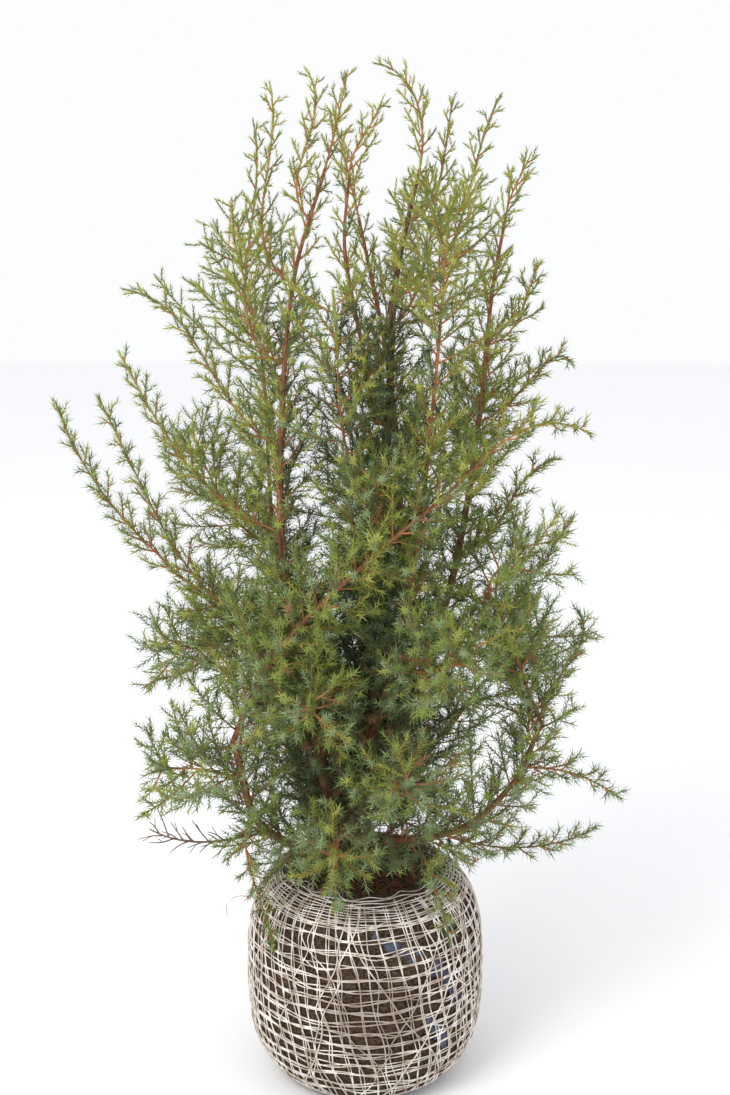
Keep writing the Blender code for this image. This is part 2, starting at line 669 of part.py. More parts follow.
def drop_scraps(mesh):
    """Leaves only the largest body, so that loose scraps and sealed hollows go."""
    shape = bmesh.new()
    shape.from_mesh(mesh)
    unseen = set(shape.faces)
    bodies = []
    while unseen:
        body, edge_of_body = set(), [unseen.pop()]
        while edge_of_body:
            face = edge_of_body.pop()
            body.add(face)
            for edge in face.edges:
                for neighbour in edge.link_faces:
                    if neighbour in unseen:
                        unseen.discard(neighbour)
                        edge_of_body.append(neighbour)
        bodies.append(body)
    bodies.sort(key=len)
    loose = [face for body in bodies[:-1] for face in body]
    bmesh.ops.delete(shape, geom=loose, context="FACES")
    shape.to_mesh(mesh)
    shape.free()


def make_mass(owner, mass):
    """A stem of whorls, its side shoots and, where the crown is thick, a core."""
    habit = mass.habit
    draw = random.Random(owner + 1)
    path = stem_paths[owner]
    swells = whorls_along(path, owner, habit, habit.first_whorl, habit.stem_whorl_step, habit.stem_radius)
    pieces = [needle_tube_mesh(path, swells)]
    if habit.has_core:
        pieces.append(core_mesh(path, owner, draw))
    for shoot in shoot_paths(path, owner, habit, draw):
        swells = whorls_along(shoot, owner, habit, habit.first_shoot_whorl, habit.shoot_whorl_step,
                              TWIG_RADIUS)
        pieces.append(needle_tube_mesh(shoot, swells))
    join(mass.name, pieces, needle_finish(mass.name, mass.tip[2]))


def make_dead_twig(path):
    """A dry twig that has lost its needles, with short bare side twigs towards its tip."""
    draw = random.Random(len(MASSES))
    length = SMOOTH_STEP * (len(path) - 1)
    bare = [(0.0, DEAD_TWIG_RADIUS * 1.3, 0.0), (length / 2, DEAD_TWIG_RADIUS, 0.0)]
    pieces = [needle_tube_mesh(path, bare)]
    for n in range(DEAD_SIDE_TWIGS):
        share = DEAD_FIRST_SHARE + (0.95 - DEAD_FIRST_SHARE) * n / DEAD_SIDE_TWIGS
        place, along = at_share(path, share)
        across, beside = frames(path)[int(share * (len(path) - 1))]
        turn = n * GOLDEN_ANGLE
        outward = math.cos(turn) * across + math.sin(turn) * beside
        end = place + (unit(outward + 0.9 * along + 0.3 * np.array(UP))
                       * DEAD_SIDE_LENGTH * draw.uniform(0.7, 1.2))
        pieces.append(needle_tube_mesh(evenly(np.array([place, end]), SMOOTH_STEP),
                                       [(0.0, DEAD_TWIG_RADIUS * 0.7, 0.0)]))
    join(DEAD_TWIG.name, pieces, material("dead_twig", DEAD_COLOUR, 0.85))


for leftover in list(bpy.data.objects):
    bpy.data.objects.remove(leftover)

make_root_ball()
make_net()

grown = {}
trunk_bark = material("trunk_bark", BARK_COLOUR, 0.85)
shoot_bark = material("shoot_bark", SHOOT_BARK_COLOUR, 0.7)
for limb in (TRUNK, *STEMS, *BOUGHS):
    grow_limb(limb)
    make_limb(limb, shoot_bark if limb.carrier else trunk_bark)

stem_paths = [grow_stem(mass) for mass in (*MASSES, DEAD_TWIG)]
spaces = Spaces(list(grown.values()), stem_paths)
for owner, mass in enumerate(MASSES):
    make_mass(owner, mass)
make_dead_twig(stem_paths[-1])
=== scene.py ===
"""The looks of a common juniper about a metre tall, standing on its netted root ball.

The limbs and the masses of needles are grown by the same rule as the plant's solids, and
carried on to finer shoots. Lengths are in metres, +Z is up and the viewer is at -Y.
"""

import math
import random

import bpy
import numpy as np
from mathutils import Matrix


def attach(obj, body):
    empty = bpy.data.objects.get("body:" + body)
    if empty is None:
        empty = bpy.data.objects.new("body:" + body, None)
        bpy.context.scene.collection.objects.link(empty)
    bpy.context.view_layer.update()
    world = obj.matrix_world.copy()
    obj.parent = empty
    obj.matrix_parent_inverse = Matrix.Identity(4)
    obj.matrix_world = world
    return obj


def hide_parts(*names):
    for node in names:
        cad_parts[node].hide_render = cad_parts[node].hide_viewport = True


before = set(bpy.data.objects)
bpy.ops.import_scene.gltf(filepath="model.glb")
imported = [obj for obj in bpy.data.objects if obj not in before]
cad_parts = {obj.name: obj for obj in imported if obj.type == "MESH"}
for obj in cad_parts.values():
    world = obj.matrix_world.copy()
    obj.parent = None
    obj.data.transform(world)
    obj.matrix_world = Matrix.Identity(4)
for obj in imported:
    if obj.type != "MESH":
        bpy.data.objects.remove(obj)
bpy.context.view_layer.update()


# Trunk, stems and boughs
# Each limb is one tapering piece of young juniper wood, in thin red-brown bark that splits
# lengthways into strips. Stems and boughs grow out of the trunk through a short collar.
GAP = 0.0003
SOIL_HEIGHT = 0.207
SMOOTH_STEP = 0.004
POINTS_BETWEEN_BENDS = 24
LIMB_TAPER = 0.8
COLLAR_LEAN = 0.45
COLLAR_LENGTH = 0.012
ROOT_FLARE = 0.45
ROOT_FLARE_HEIGHT = 0.014
ROOT_FLARE_ALL_ROUND = 0.8
ROOT_FLARE_ON_LOBES = 0.35
ROOT_FLARE_LOBES = 5
BARK_SIDES = 24
BARK_RELIEF = 0.085
BARK_WAVES = 14
BARK_RIDGES = (2, 9)
BARK_TWIST = (-60, 60)
BARK_STRETCH = (700, 700, 70)
UP = np.array((0.0, 0.0, 1.0))
ASKEW = (0.31, 0.95, 0.07)

# Name, carrier, share of the carrier's length, bends, radius at the foot and at the tip
TRUNK = (
    "trunk", "", 0.0,
    ((-0.016, -0.005, SOIL_HEIGHT + GAP), (-0.010, -0.004, 0.330), (0.007, 0.0, 0.500),
     (0.022, -0.006, 0.675), (0.028, 0.0, 0.800), (0.050, 0.0, 0.905)), 0.0100, 0.0016,
)
STEMS = (
    ("stem_left", "trunk", 0.075,
     ((-0.052, -0.032, 0.400), (-0.077, -0.052, 0.560), (-0.075, -0.052, 0.700),
      (-0.064, -0.038, 0.810), (-0.036, -0.020, 0.905)), 0.0055, 0.0014),
    ("stem_right", "trunk", 0.110,
     ((0.048, 0.022, 0.390), (0.088, 0.022, 0.520), (0.110, 0.010, 0.680),
      (0.118, 0.0, 0.790), (0.130, 0.0, 0.865)), 0.0052, 0.0014),
    ("stem_back", "trunk", 0.135,
     ((0.012, 0.062, 0.400), (0.036, 0.098, 0.560), (0.022, 0.088, 0.720),
      (-0.006, 0.062, 0.860)), 0.0050, 0.0014),
    ("stem_back_left", "trunk", 0.165,
     ((-0.060, 0.052, 0.380), (-0.092, 0.082, 0.520), (-0.100, 0.086, 0.690)), 0.0044, 0.0014),
    ("stem_front", "trunk", 0.195,
     ((0.020, -0.052, 0.420), (0.046, -0.084, 0.560), (0.064, -0.072, 0.730)), 0.0042, 0.0014),
    ("stem_middle", "trunk", 0.660,
     ((0.000, -0.026, 0.735), (-0.018, -0.032, 0.830), (-0.014, -0.034, 0.900)), 0.0024, 0.0012),
)
BOUGHS = (
    ("bough_low_left", "trunk", 0.035,
     ((-0.070, -0.052, 0.262), (-0.106, -0.068, 0.298), (-0.121, -0.086, 0.372)), 0.0048, 0.0032),
    ("bough_diagonal", "bough_low_left", 1.0,
     ((-0.101, -0.100, 0.438), (-0.060, -0.119, 0.504), (0.007, -0.124, 0.571),
      (0.071, -0.112, 0.624), (0.104, -0.100, 0.653)), 0.0030, 0.0013),
    ("bough_far_left", "trunk", 0.225,
     ((-0.060, -0.008, 0.410), (-0.112, -0.020, 0.465), (-0.164, -0.030, 0.518)), 0.0030, 0.0015),
    ("bough_low_right", "trunk", 0.050,
     ((0.040, -0.048, 0.266), (0.098, -0.064, 0.287), (0.144, -0.060, 0.332),
      (0.165, -0.050, 0.375)), 0.0042, 0.0022),
    ("bough_right_up", "bough_low_right", 1.0,
     ((0.156, -0.050, 0.420), (0.142, -0.051, 0.460), (0.118, -0.060, 0.515)), 0.0019, 0.0012),
    ("bough_back_left", "trunk", 0.060,
     ((-0.066, 0.060, 0.290), (-0.112, 0.106, 0.372)), 0.0040, 0.0020),
    ("bough_back_right", "trunk", 0.090,
     ((0.058, 0.074, 0.300), (0.124, 0.106, 0.372)), 0.0040, 0.0020),
)


def unit(vectors):
    """The same vectors at length one."""
    return vectors / np.maximum(np.linalg.norm(vectors, axis=-1, keepdims=True), 1e-12)


def evenly(curve, step):
    """The same line with its points a step apart."""
    lengths = np.concatenate([[0], np.cumsum(np.linalg.norm(np.diff(curve, axis=0), axis=1))])
    count = max(2, round(lengths[-1] / step) + 1)
    wanted = np.linspace(0, lengths[-1], count)
    return np.column_stack([np.interp(wanted, lengths, curve[:, k]) for k in range(3)])


def smooth_curve(points, step=SMOOTH_STEP):
    """Evenly spaced points along a smooth curve through the given ones."""
    points = np.asarray(points, float)
    padded = np.vstack([2 * points[0] - points[1], points, 2 * points[-1] - points[-2]])
    curve = []
    for i in range(1, len(padded) - 2):
        before, start, end, after = padded[i - 1:i + 3]
        for t in np.linspace(0, 1, POINTS_BETWEEN_BENDS, endpoint=False):
            curve.append(0.5 * (2 * start + (end - before) * t
                                + (2 * before - 5 * start + 4 * end - after) * t * t
                                + (3 * start - before - 3 * end + after) * t ** 3))
    curve.append(padded[-2])
    return evenly(np.array(curve), step)


def at_share(path, share):
    """The point and the direction of a path at a share of its length."""
    place = share * (len(path) - 1)
    i = min(int(place), len(path) - 2)
    return path[i] + (place - i) * (path[i + 1] - path[i]), unit(path[i + 1] - path[i])


def frames(path):
    """Two directions across the path at each of its points, turned as little as possible."""
    across = unit(np.cross(path[1] - path[0], ASKEW))
    found = []
    for tangent in unit(np.gradient(path, axis=0)):
        across = unit(across - tangent * (across @ tangent))
        found.append((across, np.cross(tangent, across)))
    return np.array(found)


def foot_on(carrier, share, target, foot_radius):
    """Where a limb leaves its carrier for a target, and in which direction."""
    path, radii = grown[carrier]
    if share >= 1.0:
        direction = unit(path[-1] - path[-2])
        return path[-1] + direction * GAP, direction
    place, along = at_share(path, share)
    radius = radii[min(int(share * (len(radii) - 1)), len(radii) - 1)]
    outward = target - place
    outward = unit(outward - along * (outward @ along))
    direction = unit(outward + COLLAR_LEAN * along)
    cosine = direction @ along
    sine = math.sqrt(1 - cosine ** 2)
    return place + direction * ((radius + GAP + foot_radius * cosine) / sine), direction


def grow_limb(name, carrier, share, bends, foot_radius, tip_radius):
    """The limb's middle line and its radius along it, kept for what it carries."""
    points = [np.array(bend, float) for bend in bends]
    if carrier:
        start, direction = foot_on(carrier, share, points[0], foot_radius)
        collar = [start + direction * COLLAR_LENGTH * share for share in (0, 0.5, 1)]
        points = [*collar, *points]
    path = smooth_curve(points)
    along = np.linspace(0, 1, len(path))
    grown[name] = path, foot_radius + (tip_radius - foot_radius) * along ** LIMB_TAPER


def mesh_piece(name, corners, faces, *finishes):
    """An object from arrays of corners and of faces that all have the same number of sides."""
    sides = faces.shape[1]
    mesh = bpy.data.meshes.new(name)
    mesh.vertices.add(len(corners))
    mesh.vertices.foreach_set("co", np.asarray(corners, np.float32).ravel())
    mesh.loops.add(faces.size)
    mesh.loops.foreach_set("vertex_index", faces.astype(np.int32).ravel())
    mesh.polygons.add(len(faces))
    mesh.polygons.foreach_set("loop_start", np.arange(0, faces.size, sides, dtype=np.int32))
    mesh.update(calc_edges=True)
    for finish in finishes:
        mesh.materials.append(finish)
    piece = bpy.data.objects.new(name, mesh)
    bpy.context.scene.collection.objects.link(piece)
    return piece


def skin(rings, sides, closed=True):
    """Triangles between rows of corners that are numbered row by row, open or closed sideways."""
    ring, side = np.meshgrid(np.arange(rings - 1), np.arange(sides - (not closed)), indexing="ij")
    following = (side + 1) % sides
    low, high = ring * sides, (ring + 1) * sides
    first = np.stack([low + side, low + following, high + following], -1).reshape(-1, 3)
    second = np.stack([low + side, high + following, high + side], -1).reshape(-1, 3)
    return np.vstack([first, second])


def closing_fan(sides, middle):
    """Triangles from the first ring to one corner in its middle."""
    k = np.arange(sides)
    return np.stack([(k + 1) % sides, k, np.full(sides, middle)], -1)


def tube(path, radii):
    """Corners and faces of a round tube: radii holds one row a ring and one column a side."""
    rings, sides = radii.shape
    across = frames(path)
    angles = np.arange(sides) * 2 * math.pi / sides
    spokes = (np.cos(angles)[None, :, None] * across[:, None, 0]
              + np.sin(angles)[None, :, None] * across[:, None, 1])
    corners = (path[:, None] + spokes * radii[..., None]).reshape(-1, 3)
    corners = np.vstack([corners, path[:1], path[-1:]])
    k = np.arange(sides)
    last = (rings - 1) * sides
    tip = np.stack([last + k, last + (k + 1) % sides, np.full(sides, rings * sides + 1)], -1)
    return corners, np.vstack([skin(rings, sides), closing_fan(sides, rings * sides), tip])


def bark_relief(rings, sides, draw):
    """Long ridges and splits that run up the bark, as shares of the radius."""
    angle = np.arange(sides)[None] * 2 * math.pi / sides
    height = np.arange(rings)[:, None] * SMOOTH_STEP
    relief = np.zeros((rings, sides))
    for _ in range(BARK_WAVES):
        count = draw.randint(*BARK_RIDGES)
        rise = draw.uniform(*BARK_TWIST)
        relief += math.sqrt(2 / BARK_WAVES) * np.sin(
            count * angle + rise * height + draw.uniform(0, 2 * math.pi))
    return BARK_RELIEF * relief


def limb_mesh(name, carrier):
    """The limb's tube with its bark's relief, and the trunk's low lobes that run into its roots."""
    path, radii = grown[name]
    draw = random.Random(name)
    rows = radii[:, None] * (1 + bark_relief(len(path), BARK_SIDES, draw))
    if not carrier:
        height = (path[:, 2] - path[0][2])[:, None]
        angle = np.arange(BARK_SIDES)[None] * 2 * math.pi / BARK_SIDES
        flare = ROOT_FLARE * np.exp(-height / ROOT_FLARE_HEIGHT)
        lobes = ROOT_FLARE_ALL_ROUND + ROOT_FLARE_ON_LOBES * np.cos(ROOT_FLARE_LOBES * angle)
        rows = rows * (1 + flare * lobes)
    corners, faces = tube(path, rows)
    if not carrier:
        corners[:BARK_SIDES, 2] = SOIL_HEIGHT
    return corners, faces


def grain_group():
    """The pattern that the bark, soil, fleece and thread share: one value, fine and stretched."""
    group = bpy.data.node_groups.new("grain", "ShaderNodeTree")
    for socket, kind in (("Place", "NodeSocketVector"), ("Stretch", "NodeSocketVector"),
                         ("Fineness", "NodeSocketFloat"), ("Detail", "NodeSocketFloat")):
        group.interface.new_socket(socket, in_out="INPUT", socket_type=kind)
    group.interface.new_socket("Grain", in_out="OUTPUT", socket_type="NodeSocketFloat")
    nodes, links = group.nodes, group.links
    given = nodes.new("NodeGroupInput")
    result = nodes.new("NodeGroupOutput")
    stretch = nodes.new("ShaderNodeMapping")
    noise = nodes.new("ShaderNodeTexNoise")
    links.new(given.outputs["Place"], stretch.inputs["Vector"])
    links.new(given.outputs["Stretch"], stretch.inputs["Scale"])
    links.new(given.outputs["Fineness"], noise.inputs["Scale"])
    links.new(given.outputs["Detail"], noise.inputs["Detail"])
    links.new(stretch.outputs["Vector"], noise.inputs["Vector"])
    links.new(noise.outputs["Fac"], result.inputs["Grain"])
    return group


def grained_finish(name, grain_size, dark, light, roughness, gloss, bump_depth=0.0, bump_strength=1.0):
    """A finish that runs from a dark to a light colour with the grain, and is as uneven.

    grain_size is the stretch, fineness and detail; dark and light are a share and a colour each.
    """
    finish = bpy.data.materials.new(name)
    finish.use_nodes = True
    nodes, links = finish.node_tree.nodes, finish.node_tree.links
    shader = nodes["Principled BSDF"]
    shader.inputs["Roughness"].default_value = roughness
    shader.inputs["Specular IOR Level"].default_value = gloss
    place = nodes.new("ShaderNodeTexCoord")
    grained = nodes.new("ShaderNodeGroup")
    grained.node_tree = grain
    for socket, value in zip(("Stretch", "Fineness", "Detail"), grain_size):
        grained.inputs[socket].default_value = value
    ramp = nodes.new("ShaderNodeValToRGB")
    for element, (position, colour) in zip(ramp.color_ramp.elements, (dark, light)):
        element.position = position
        element.color = (*colour, 1)
    links.new(place.outputs["Object"], grained.inputs["Place"])
    links.new(grained.outputs["Grain"], ramp.inputs["Fac"])
    links.new(ramp.outputs["Color"], shader.inputs["Base Color"])
    if bump_depth:
        bump = nodes.new("ShaderNodeBump")
        bump.inputs["Distance"].default_value = bump_depth
        bump.inputs["Strength"].default_value = bump_strength
        links.new(grained.outputs["Grain"], bump.inputs["Height"])
        links.new(bump.outputs["Normal"], shader.inputs["Normal"])
    return finish


def bark_finish(name, fineness, split, ridge, roughness):
    """Bark in strips along Z: dark splits between lighter ridges."""
    return grained_finish(name, (BARK_STRETCH, fineness, 5.0), (0.38, split), (0.66, ridge),
                          roughness, 0.3, 0.0006, 0.8)


grown = {}
grain = grain_group()
trunk_bark = bark_finish("trunk_bark", 1.0, (0.040, 0.021, 0.014), (0.190, 0.100, 0.064), 0.85)
shoot_bark = bark_finish("shoot_bark", 1.2, (0.150, 0.052, 0.026), (0.420, 0.185, 0.092), 0.70)
for limb in (TRUNK, *STEMS, *BOUGHS):
    grow_limb(*limb)
    limb_piece = mesh_piece(limb[0] + "_bark", *limb_mesh(limb[0], limb[1]),
                            shoot_bark if limb[1] else trunk_bark)
    limb_piece.data.shade_smooth()
    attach(limb_piece, "root")
    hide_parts(limb[0])


# Masses of needles
# Each mass grows from a stem of its own: orange-brown side shoots a golden angle apart, finer
# shoots on those, and stiff needles in whorls of three. A needle is channelled, with a pale
# waxy band on the side that faces the shoot's tip.
ARC_PULL = 0.38
ARC_POINTS = 60
GOLDEN_ANGLE = math.radians(137.5)
SPACE_MARGIN = 0.0006
LEAST_ROOM = 0.0018
COARSE = 3
ROOM_BATCH = 4000
BALL_RADIUS = 0.119
BALL_HEIGHT = 0.217
BALL_FOOT_RADIUS = 0.068
BALL_SHOULDER_POWER = 3.0
BALL_ROOM = 0.0045
CROWN_TOP = 1.004

# Radius of the stem, then spacing, length, taper and spread of its side shoots, then spacing
# and length of the shoots on those
SLENDER = dict(stem=0.0012, step=0.0075, longest=0.034, taper=0.80, angle=42,
               fine_step=0.0065, fine_longest=0.013)
DENSE = dict(stem=0.0018, step=0.0068, longest=0.108, taper=0.58, angle=60,
             fine_step=0.0062, fine_longest=0.032)

# How the limbs themselves are clothed with short shoots, by height above the floor
LIMB_STRETCHES = (
    (0.235, 0.58, dict(step=0.0060, longest=0.075, taper=0.50, angle=58,
                      fine_step=0.0060, fine_longest=0.028)),
    (0.58, 0.76, dict(step=0.0065, longest=0.060, taper=0.55, angle=50,
                      fine_step=0.0062, fine_longest=0.022)),
    (0.76, 1.00, dict(step=0.0080, longest=0.036, taper=0.60, angle=42,
                      fine_step=0.0065, fine_longest=0.014)),
)

# Name, carrier, share of the carrier's length, furthest tip, how that tip points, habit
MASSES = (
    ("foliage_top", "trunk", 1.0, (0.010, 0.0, 0.997), (-1.0, 0.0, 0.15), SLENDER),
    ("foliage_top_left", "stem_left", 1.0, (-0.016, -0.016, 0.988), (0.2, 0.1, 1.0), SLENDER),
    ("foliage_left_arch", "stem_left", 0.93, (-0.052, -0.026, 0.990), (-0.6, 0.0, 0.8), SLENDER),
    ("foliage_left_spire", "stem_left", 0.84, (-0.084, -0.030, 0.978), (-0.2, 0.0, 1.0), SLENDER),
    ("foliage_left_spire_low", "stem_left", 0.73, (-0.098, -0.046, 0.945), (-0.2, 0.0, 1.0), SLENDER),
    ("foliage_middle_top", "stem_middle", 1.0, (0.016, -0.040, 0.966), (0.3, 0.0, 1.0), SLENDER),
    ("foliage_right_inner", "trunk", 0.93, (0.080, 0.012, 0.965), (0.2, 0.0, 1.0), SLENDER),
    ("foliage_right_spire", "trunk", 0.83, (0.120, -0.020, 0.968), (0.5, 0.0, 1.0), SLENDER),
    ("foliage_right_top", "stem_right", 1.0, (0.151, 0.0, 0.918), (0.4, 0.0, 1.0), SLENDER),
    ("foliage_right_high", "stem_right", 0.80, (0.160, -0.020, 0.822), (0.5, 0.0, 1.0), SLENDER),
    ("foliage_right_arch", "stem_right", 0.68, (0.196, 0.004, 0.726), (0.6, 0.0, -1.0), SLENDER),
    ("foliage_back_top", "stem_back", 1.0, (-0.030, 0.064, 0.958), (-0.2, 0.0, 1.0), SLENDER),
    ("foliage_left_high", "stem_left", 0.62, (-0.219, -0.034, 0.799), (-1.0, 0.0, 0.15), SLENDER),
    ("foliage_left_upper", "stem_left", 0.50, (-0.222, -0.050, 0.742), (-0.5, 0.0, 1.0), SLENDER),
    ("foliage_left_middle", "stem_left", 0.34, (-0.240, -0.072, 0.706), (-0.5, 0.0, 1.0), SLENDER),
    ("foliage_far_left", "bough_far_left", 1.0, (-0.286, -0.030, 0.694), (-0.3, 0.0, 1.0), SLENDER),
    ("foliage_diagonal_tip", "bough_diagonal", 1.0, (0.209, -0.036, 0.667), (1.0, 0.2, -0.5), SLENDER),
    ("foliage_right_middle", "stem_right", 0.47, (0.182, -0.020, 0.640), (1.0, 0.0, 0.2), SLENDER),
    ("foliage_right_lower", "stem_right", 0.31, (0.200, -0.008, 0.582), (0.6, 0.0, 0.9), SLENDER),
    ("foliage_right_out", "bough_low_right", 0.97, (0.206, -0.028, 0.492), (-0.5, 0.0, 0.9), SLENDER),
    ("foliage_low_right_tip", "bough_low_right", 0.86, (0.250, -0.040, 0.306), (0.8, 0.0, -0.6), SLENDER),
    ("foliage_bottom_right", "bough_low_right", 0.42, (0.224, -0.054, 0.280), (1.0, 0.0, 0.6), SLENDER),
    ("foliage_hanging_left", "bough_low_left", 0.60, (-0.088, -0.108, 0.180), (0.1, 0.0, -1.0), SLENDER),
    ("foliage_hanging_right", "bough_low_right", 0.30, (0.080, -0.126, 0.196), (0.2, -0.2, -1.0), SLENDER),
    ("foliage_front_foot", "trunk", 0.075, (-0.030, -0.150, 0.290), (0.0, -1.0, 0.1), DENSE),
    ("foliage_front_low", "trunk", 0.120, (0.042, -0.158, 0.372), (0.2, -1.0, 0.5), DENSE),
    ("foliage_front_left", "stem_left", 0.26, (-0.048, -0.150, 0.448), (0.0, -0.6, 1.0), DENSE),
    ("foliage_front_right", "stem_front", 0.30, (0.094, -0.150, 0.500), (0.3, -0.5, 1.0), DENSE),
    ("foliage_front_middle", "trunk", 0.400, (0.006, -0.110, 0.650), (0.0, -0.2, 1.0), DENSE),
    ("foliage_front_high", "stem_front", 1.0, (0.074, -0.078, 0.880), (0.1, 0.0, 1.0), DENSE),
    ("foliage_front_upper", "trunk", 0.560, (-0.028, -0.090, 0.800), (-0.1, -0.2, 1.0), DENSE),
    ("foliage_low_left", "bough_low_left", 0.85, (-0.200, -0.086, 0.352), (-1.0, 0.0, -0.3), DENSE),
    ("foliage_left_side", "bough_far_left", 0.62, (-0.200, -0.010, 0.450), (-1.0, 0.0, 0.0), DENSE),
    ("foliage_right_side", "bough_right_up", 1.0, (0.150, -0.070, 0.580), (0.3, 0.0, 1.0), DENSE),
    ("foliage_low_back_left", "bough_back_left", 1.0, (-0.176, 0.130, 0.440), (-0.5, 0.2, 1.0), DENSE),
    ("foliage_low_back_right", "bough_back_right", 1.0, (0.188, 0.110, 0.440), (0.5, 0.2, 1.0), DENSE),
    ("foliage_back_foot", "trunk", 0.100, (0.004, 0.168, 0.330), (0.0, 1.0, 0.4), DENSE),
    ("foliage_back_left", "stem_back_left", 0.60, (-0.180, 0.134, 0.640), (-0.4, 0.2, 1.0), DENSE),
    ("foliage_back_left_top", "stem_back_left", 1.0, (-0.130, 0.080, 0.850), (-0.2, 0.0, 1.0), DENSE),
    ("foliage_back_middle", "stem_back", 0.42, (-0.014, 0.182, 0.600), (0.0, 0.3, 1.0), DENSE),
    ("foliage_back_right", "stem_back", 0.56, (0.124, 0.136, 0.690), (0.3, 0.2, 1.0), DENSE),
    ("foliage_back_high", "stem_back", 0.80, (0.070, 0.086, 0.880), (0.2, 0.0, 1.0), DENSE),
)
DEAD_TWIG = (
    "dead_twig", "bough_low_left", 0.50, (-0.209, -0.064, 0.284), (-1.0, 0.0, 0.6), SLENDER,
)
STEM_FOOT = {SLENDER["stem"]: 0.0016, DENSE["stem"]: 0.0020}

SHOOT_POINTS = 14
FINE_POINTS = 6
LAST_SHOOT_SHARE = 0.97
SHOOT_SCATTER = 0.25
SHOOT_LENGTHS = (0.6, 1.15)
LEAST_SHOOT = 0.004
SHOOT_RADIUS = 0.0011
FINE_RADIUS = 0.0005
FINE_ANGLE = 46
FINE_TAPER = 0.55
SHOOT_RISE = (0.10, 0.42)
FINE_RISE = (0.02, 0.22)
WHORL_STEP = 0.0031
NEEDLES_A_WHORL = 3
FIRST_WHORL = 0.7
WHORL_SCATTER = 0.35
LOW_NEEDLE_LENGTH = 0.0092
TOP_NEEDLE_LENGTH = 0.0058
LOW_NEEDLE_LEAN = 58
TOP_NEEDLE_LEAN = 34
LEAN_LOST_AT_TIP = 0.45
LEAN_SCATTER = 9
NEEDLE_LENGTHS = (0.8, 1.15)
NEEDLE_CURL = 0.06
NEEDLE_WIDTH = 0.0013
NEEDLE_KEEL = 0.00045
NEEDLE_OVERHANG = 0.0030
OPEN_CROWN_FROM = 0.56
OPEN_CROWN_TO = 0.90
MOST_TRIANGLES = 195000
CROWN_FOOT = 0.25
CROWN_HEIGHT = 0.75
CROWN_RADIUS = 0.17
CROWN_FLATNESS = 0.8
BLUE_AT_FOOT = 0.62
BLUE_LOST_BY_TOP = 0.45
FRESH_AT_FOOT = 0.08
FRESH_GAINED_BY_TOP = 0.75
# Painted shade: how far in and how low the crown's shoots may be given the dark green, and the chance that
# they are
PAINTED_SHADE_INSIDE = 0.55
PAINTED_SHADE_BELOW = 0.72
PAINTED_SHADE_CHANCE = 0.55
DRY_BELOW = 0.5
DRY_CHANCE = 0.025
DRY_BY_TRUNK = 0.38
DRY_LOW = 0.22
DRY_LOW_CHANCE = 0.30

# Share of a stem or shoot that stays bare at its foot, and how readily it is fresh
BARE_SLENDER = 0.30
BARE_DENSE = 0.75
BARE_SHOOT = 0.30
BARE_FINE = 0.10
FRESH_SHOOT = 1.0
FRESH_FINE = 0.8

# Green of the needle's back and the pale band on its face, for each kind of spray; the dark kind is
# painted shade
NEEDLE_COLOURS = {
    "blue": ((0.100, 0.168, 0.046), (0.270, 0.360, 0.165)),
    "green": ((0.138, 0.205, 0.026), (0.262, 0.345, 0.072)),
    "fresh": ((0.320, 0.350, 0.042), (0.410, 0.450, 0.095)),
    "dark": ((0.042, 0.078, 0.020), (0.110, 0.160, 0.065)),
    "brown": ((0.230, 0.100, 0.035), (0.320, 0.165, 0.070)),
}


def arc_curve(start, start_direction, end, end_direction, step=SMOOTH_STEP):
    """Evenly spaced points along one arc that leaves and arrives in the given directions."""
    pull = np.linalg.norm(end - start) * ARC_PULL
    first = start + start_direction * pull
    second = end - unit(np.asarray(end_direction, float)) * pull
    t = np.linspace(0, 1, ARC_POINTS)[:, None]
    curve = ((1 - t) ** 3 * start + 3 * (1 - t) ** 2 * t * first
             + 3 * (1 - t) * t ** 2 * second + t ** 3 * end)
    return evenly(curve, step)


def distances_to(points, starts, ends):
    """The distance of each point to each straight piece, as a table."""
    run = ends - starts
    offset = points[:, None, :] - starts[None]
    squares = np.maximum(np.einsum("ij,ij->i", run, run), 1e-12)
    share = np.einsum("pij,ij->pi", offset, run) / squares
    nearest = offset - np.clip(share, 0, 1)[..., None] * run[None]
    return np.sqrt(np.einsum("pij,pij->pi", nearest, nearest))


def pieces_of(paths):
    """The straight pieces of several paths, and the number of the path that each belongs to."""
    starts, ends, owners = [], [], []
    for owner, path in enumerate(paths):
        coarse = np.vstack([path[:-1:COARSE], path[-1:]])
        starts.append(coarse[:-1])
        ends.append(coarse[1:])
        owners.extend([owner] * (len(coarse) - 1))
    return np.vstack(starts), np.vstack(ends), np.array(owners)


def ball_radius(height):
    """The root ball's radius at a height, widest half-way up and rounded to its foot and rim."""
    half = BALL_HEIGHT / 2
    level = np.clip(np.abs(np.asarray(height, float) - half) / half, 0, 1)
    shoulder = np.sqrt(1 - level ** BALL_SHOULDER_POWER)
    return BALL_FOOT_RADIUS + (BALL_RADIUS - BALL_FOOT_RADIUS) * shoulder


def room_round_ball(points):
    """How far each point lies outside the netted ball, or above its rim."""
    outside = np.hypot(points[:, 0], points[:, 1]) - ball_radius(points[:, 2]) - BALL_ROOM
    return np.maximum(outside, points[:, 2] - BALL_HEIGHT - BALL_ROOM / 2)


def room(points, owner):
    """How far each point may reach in its mass's space: nearest its own stem, clear of limbs."""
    found = []
    for batch in np.array_split(points, max(1, len(points) // ROOM_BATCH)):
        to_stems = distances_to(batch, stem_starts, stem_ends)
        own = to_stems[:, stem_owners == owner].min(axis=1)
        others = to_stems[:, stem_owners != owner].min(axis=1)
        to_limbs = (distances_to(batch, limb_starts, limb_ends) - limb_widths).min(axis=1)
        free = np.minimum((others - own) / 2, np.minimum(to_limbs, CROWN_TOP - batch[:, 2]))
        found.append(np.minimum(free, room_round_ball(batch)) - SPACE_MARGIN)
    return np.concatenate(found)


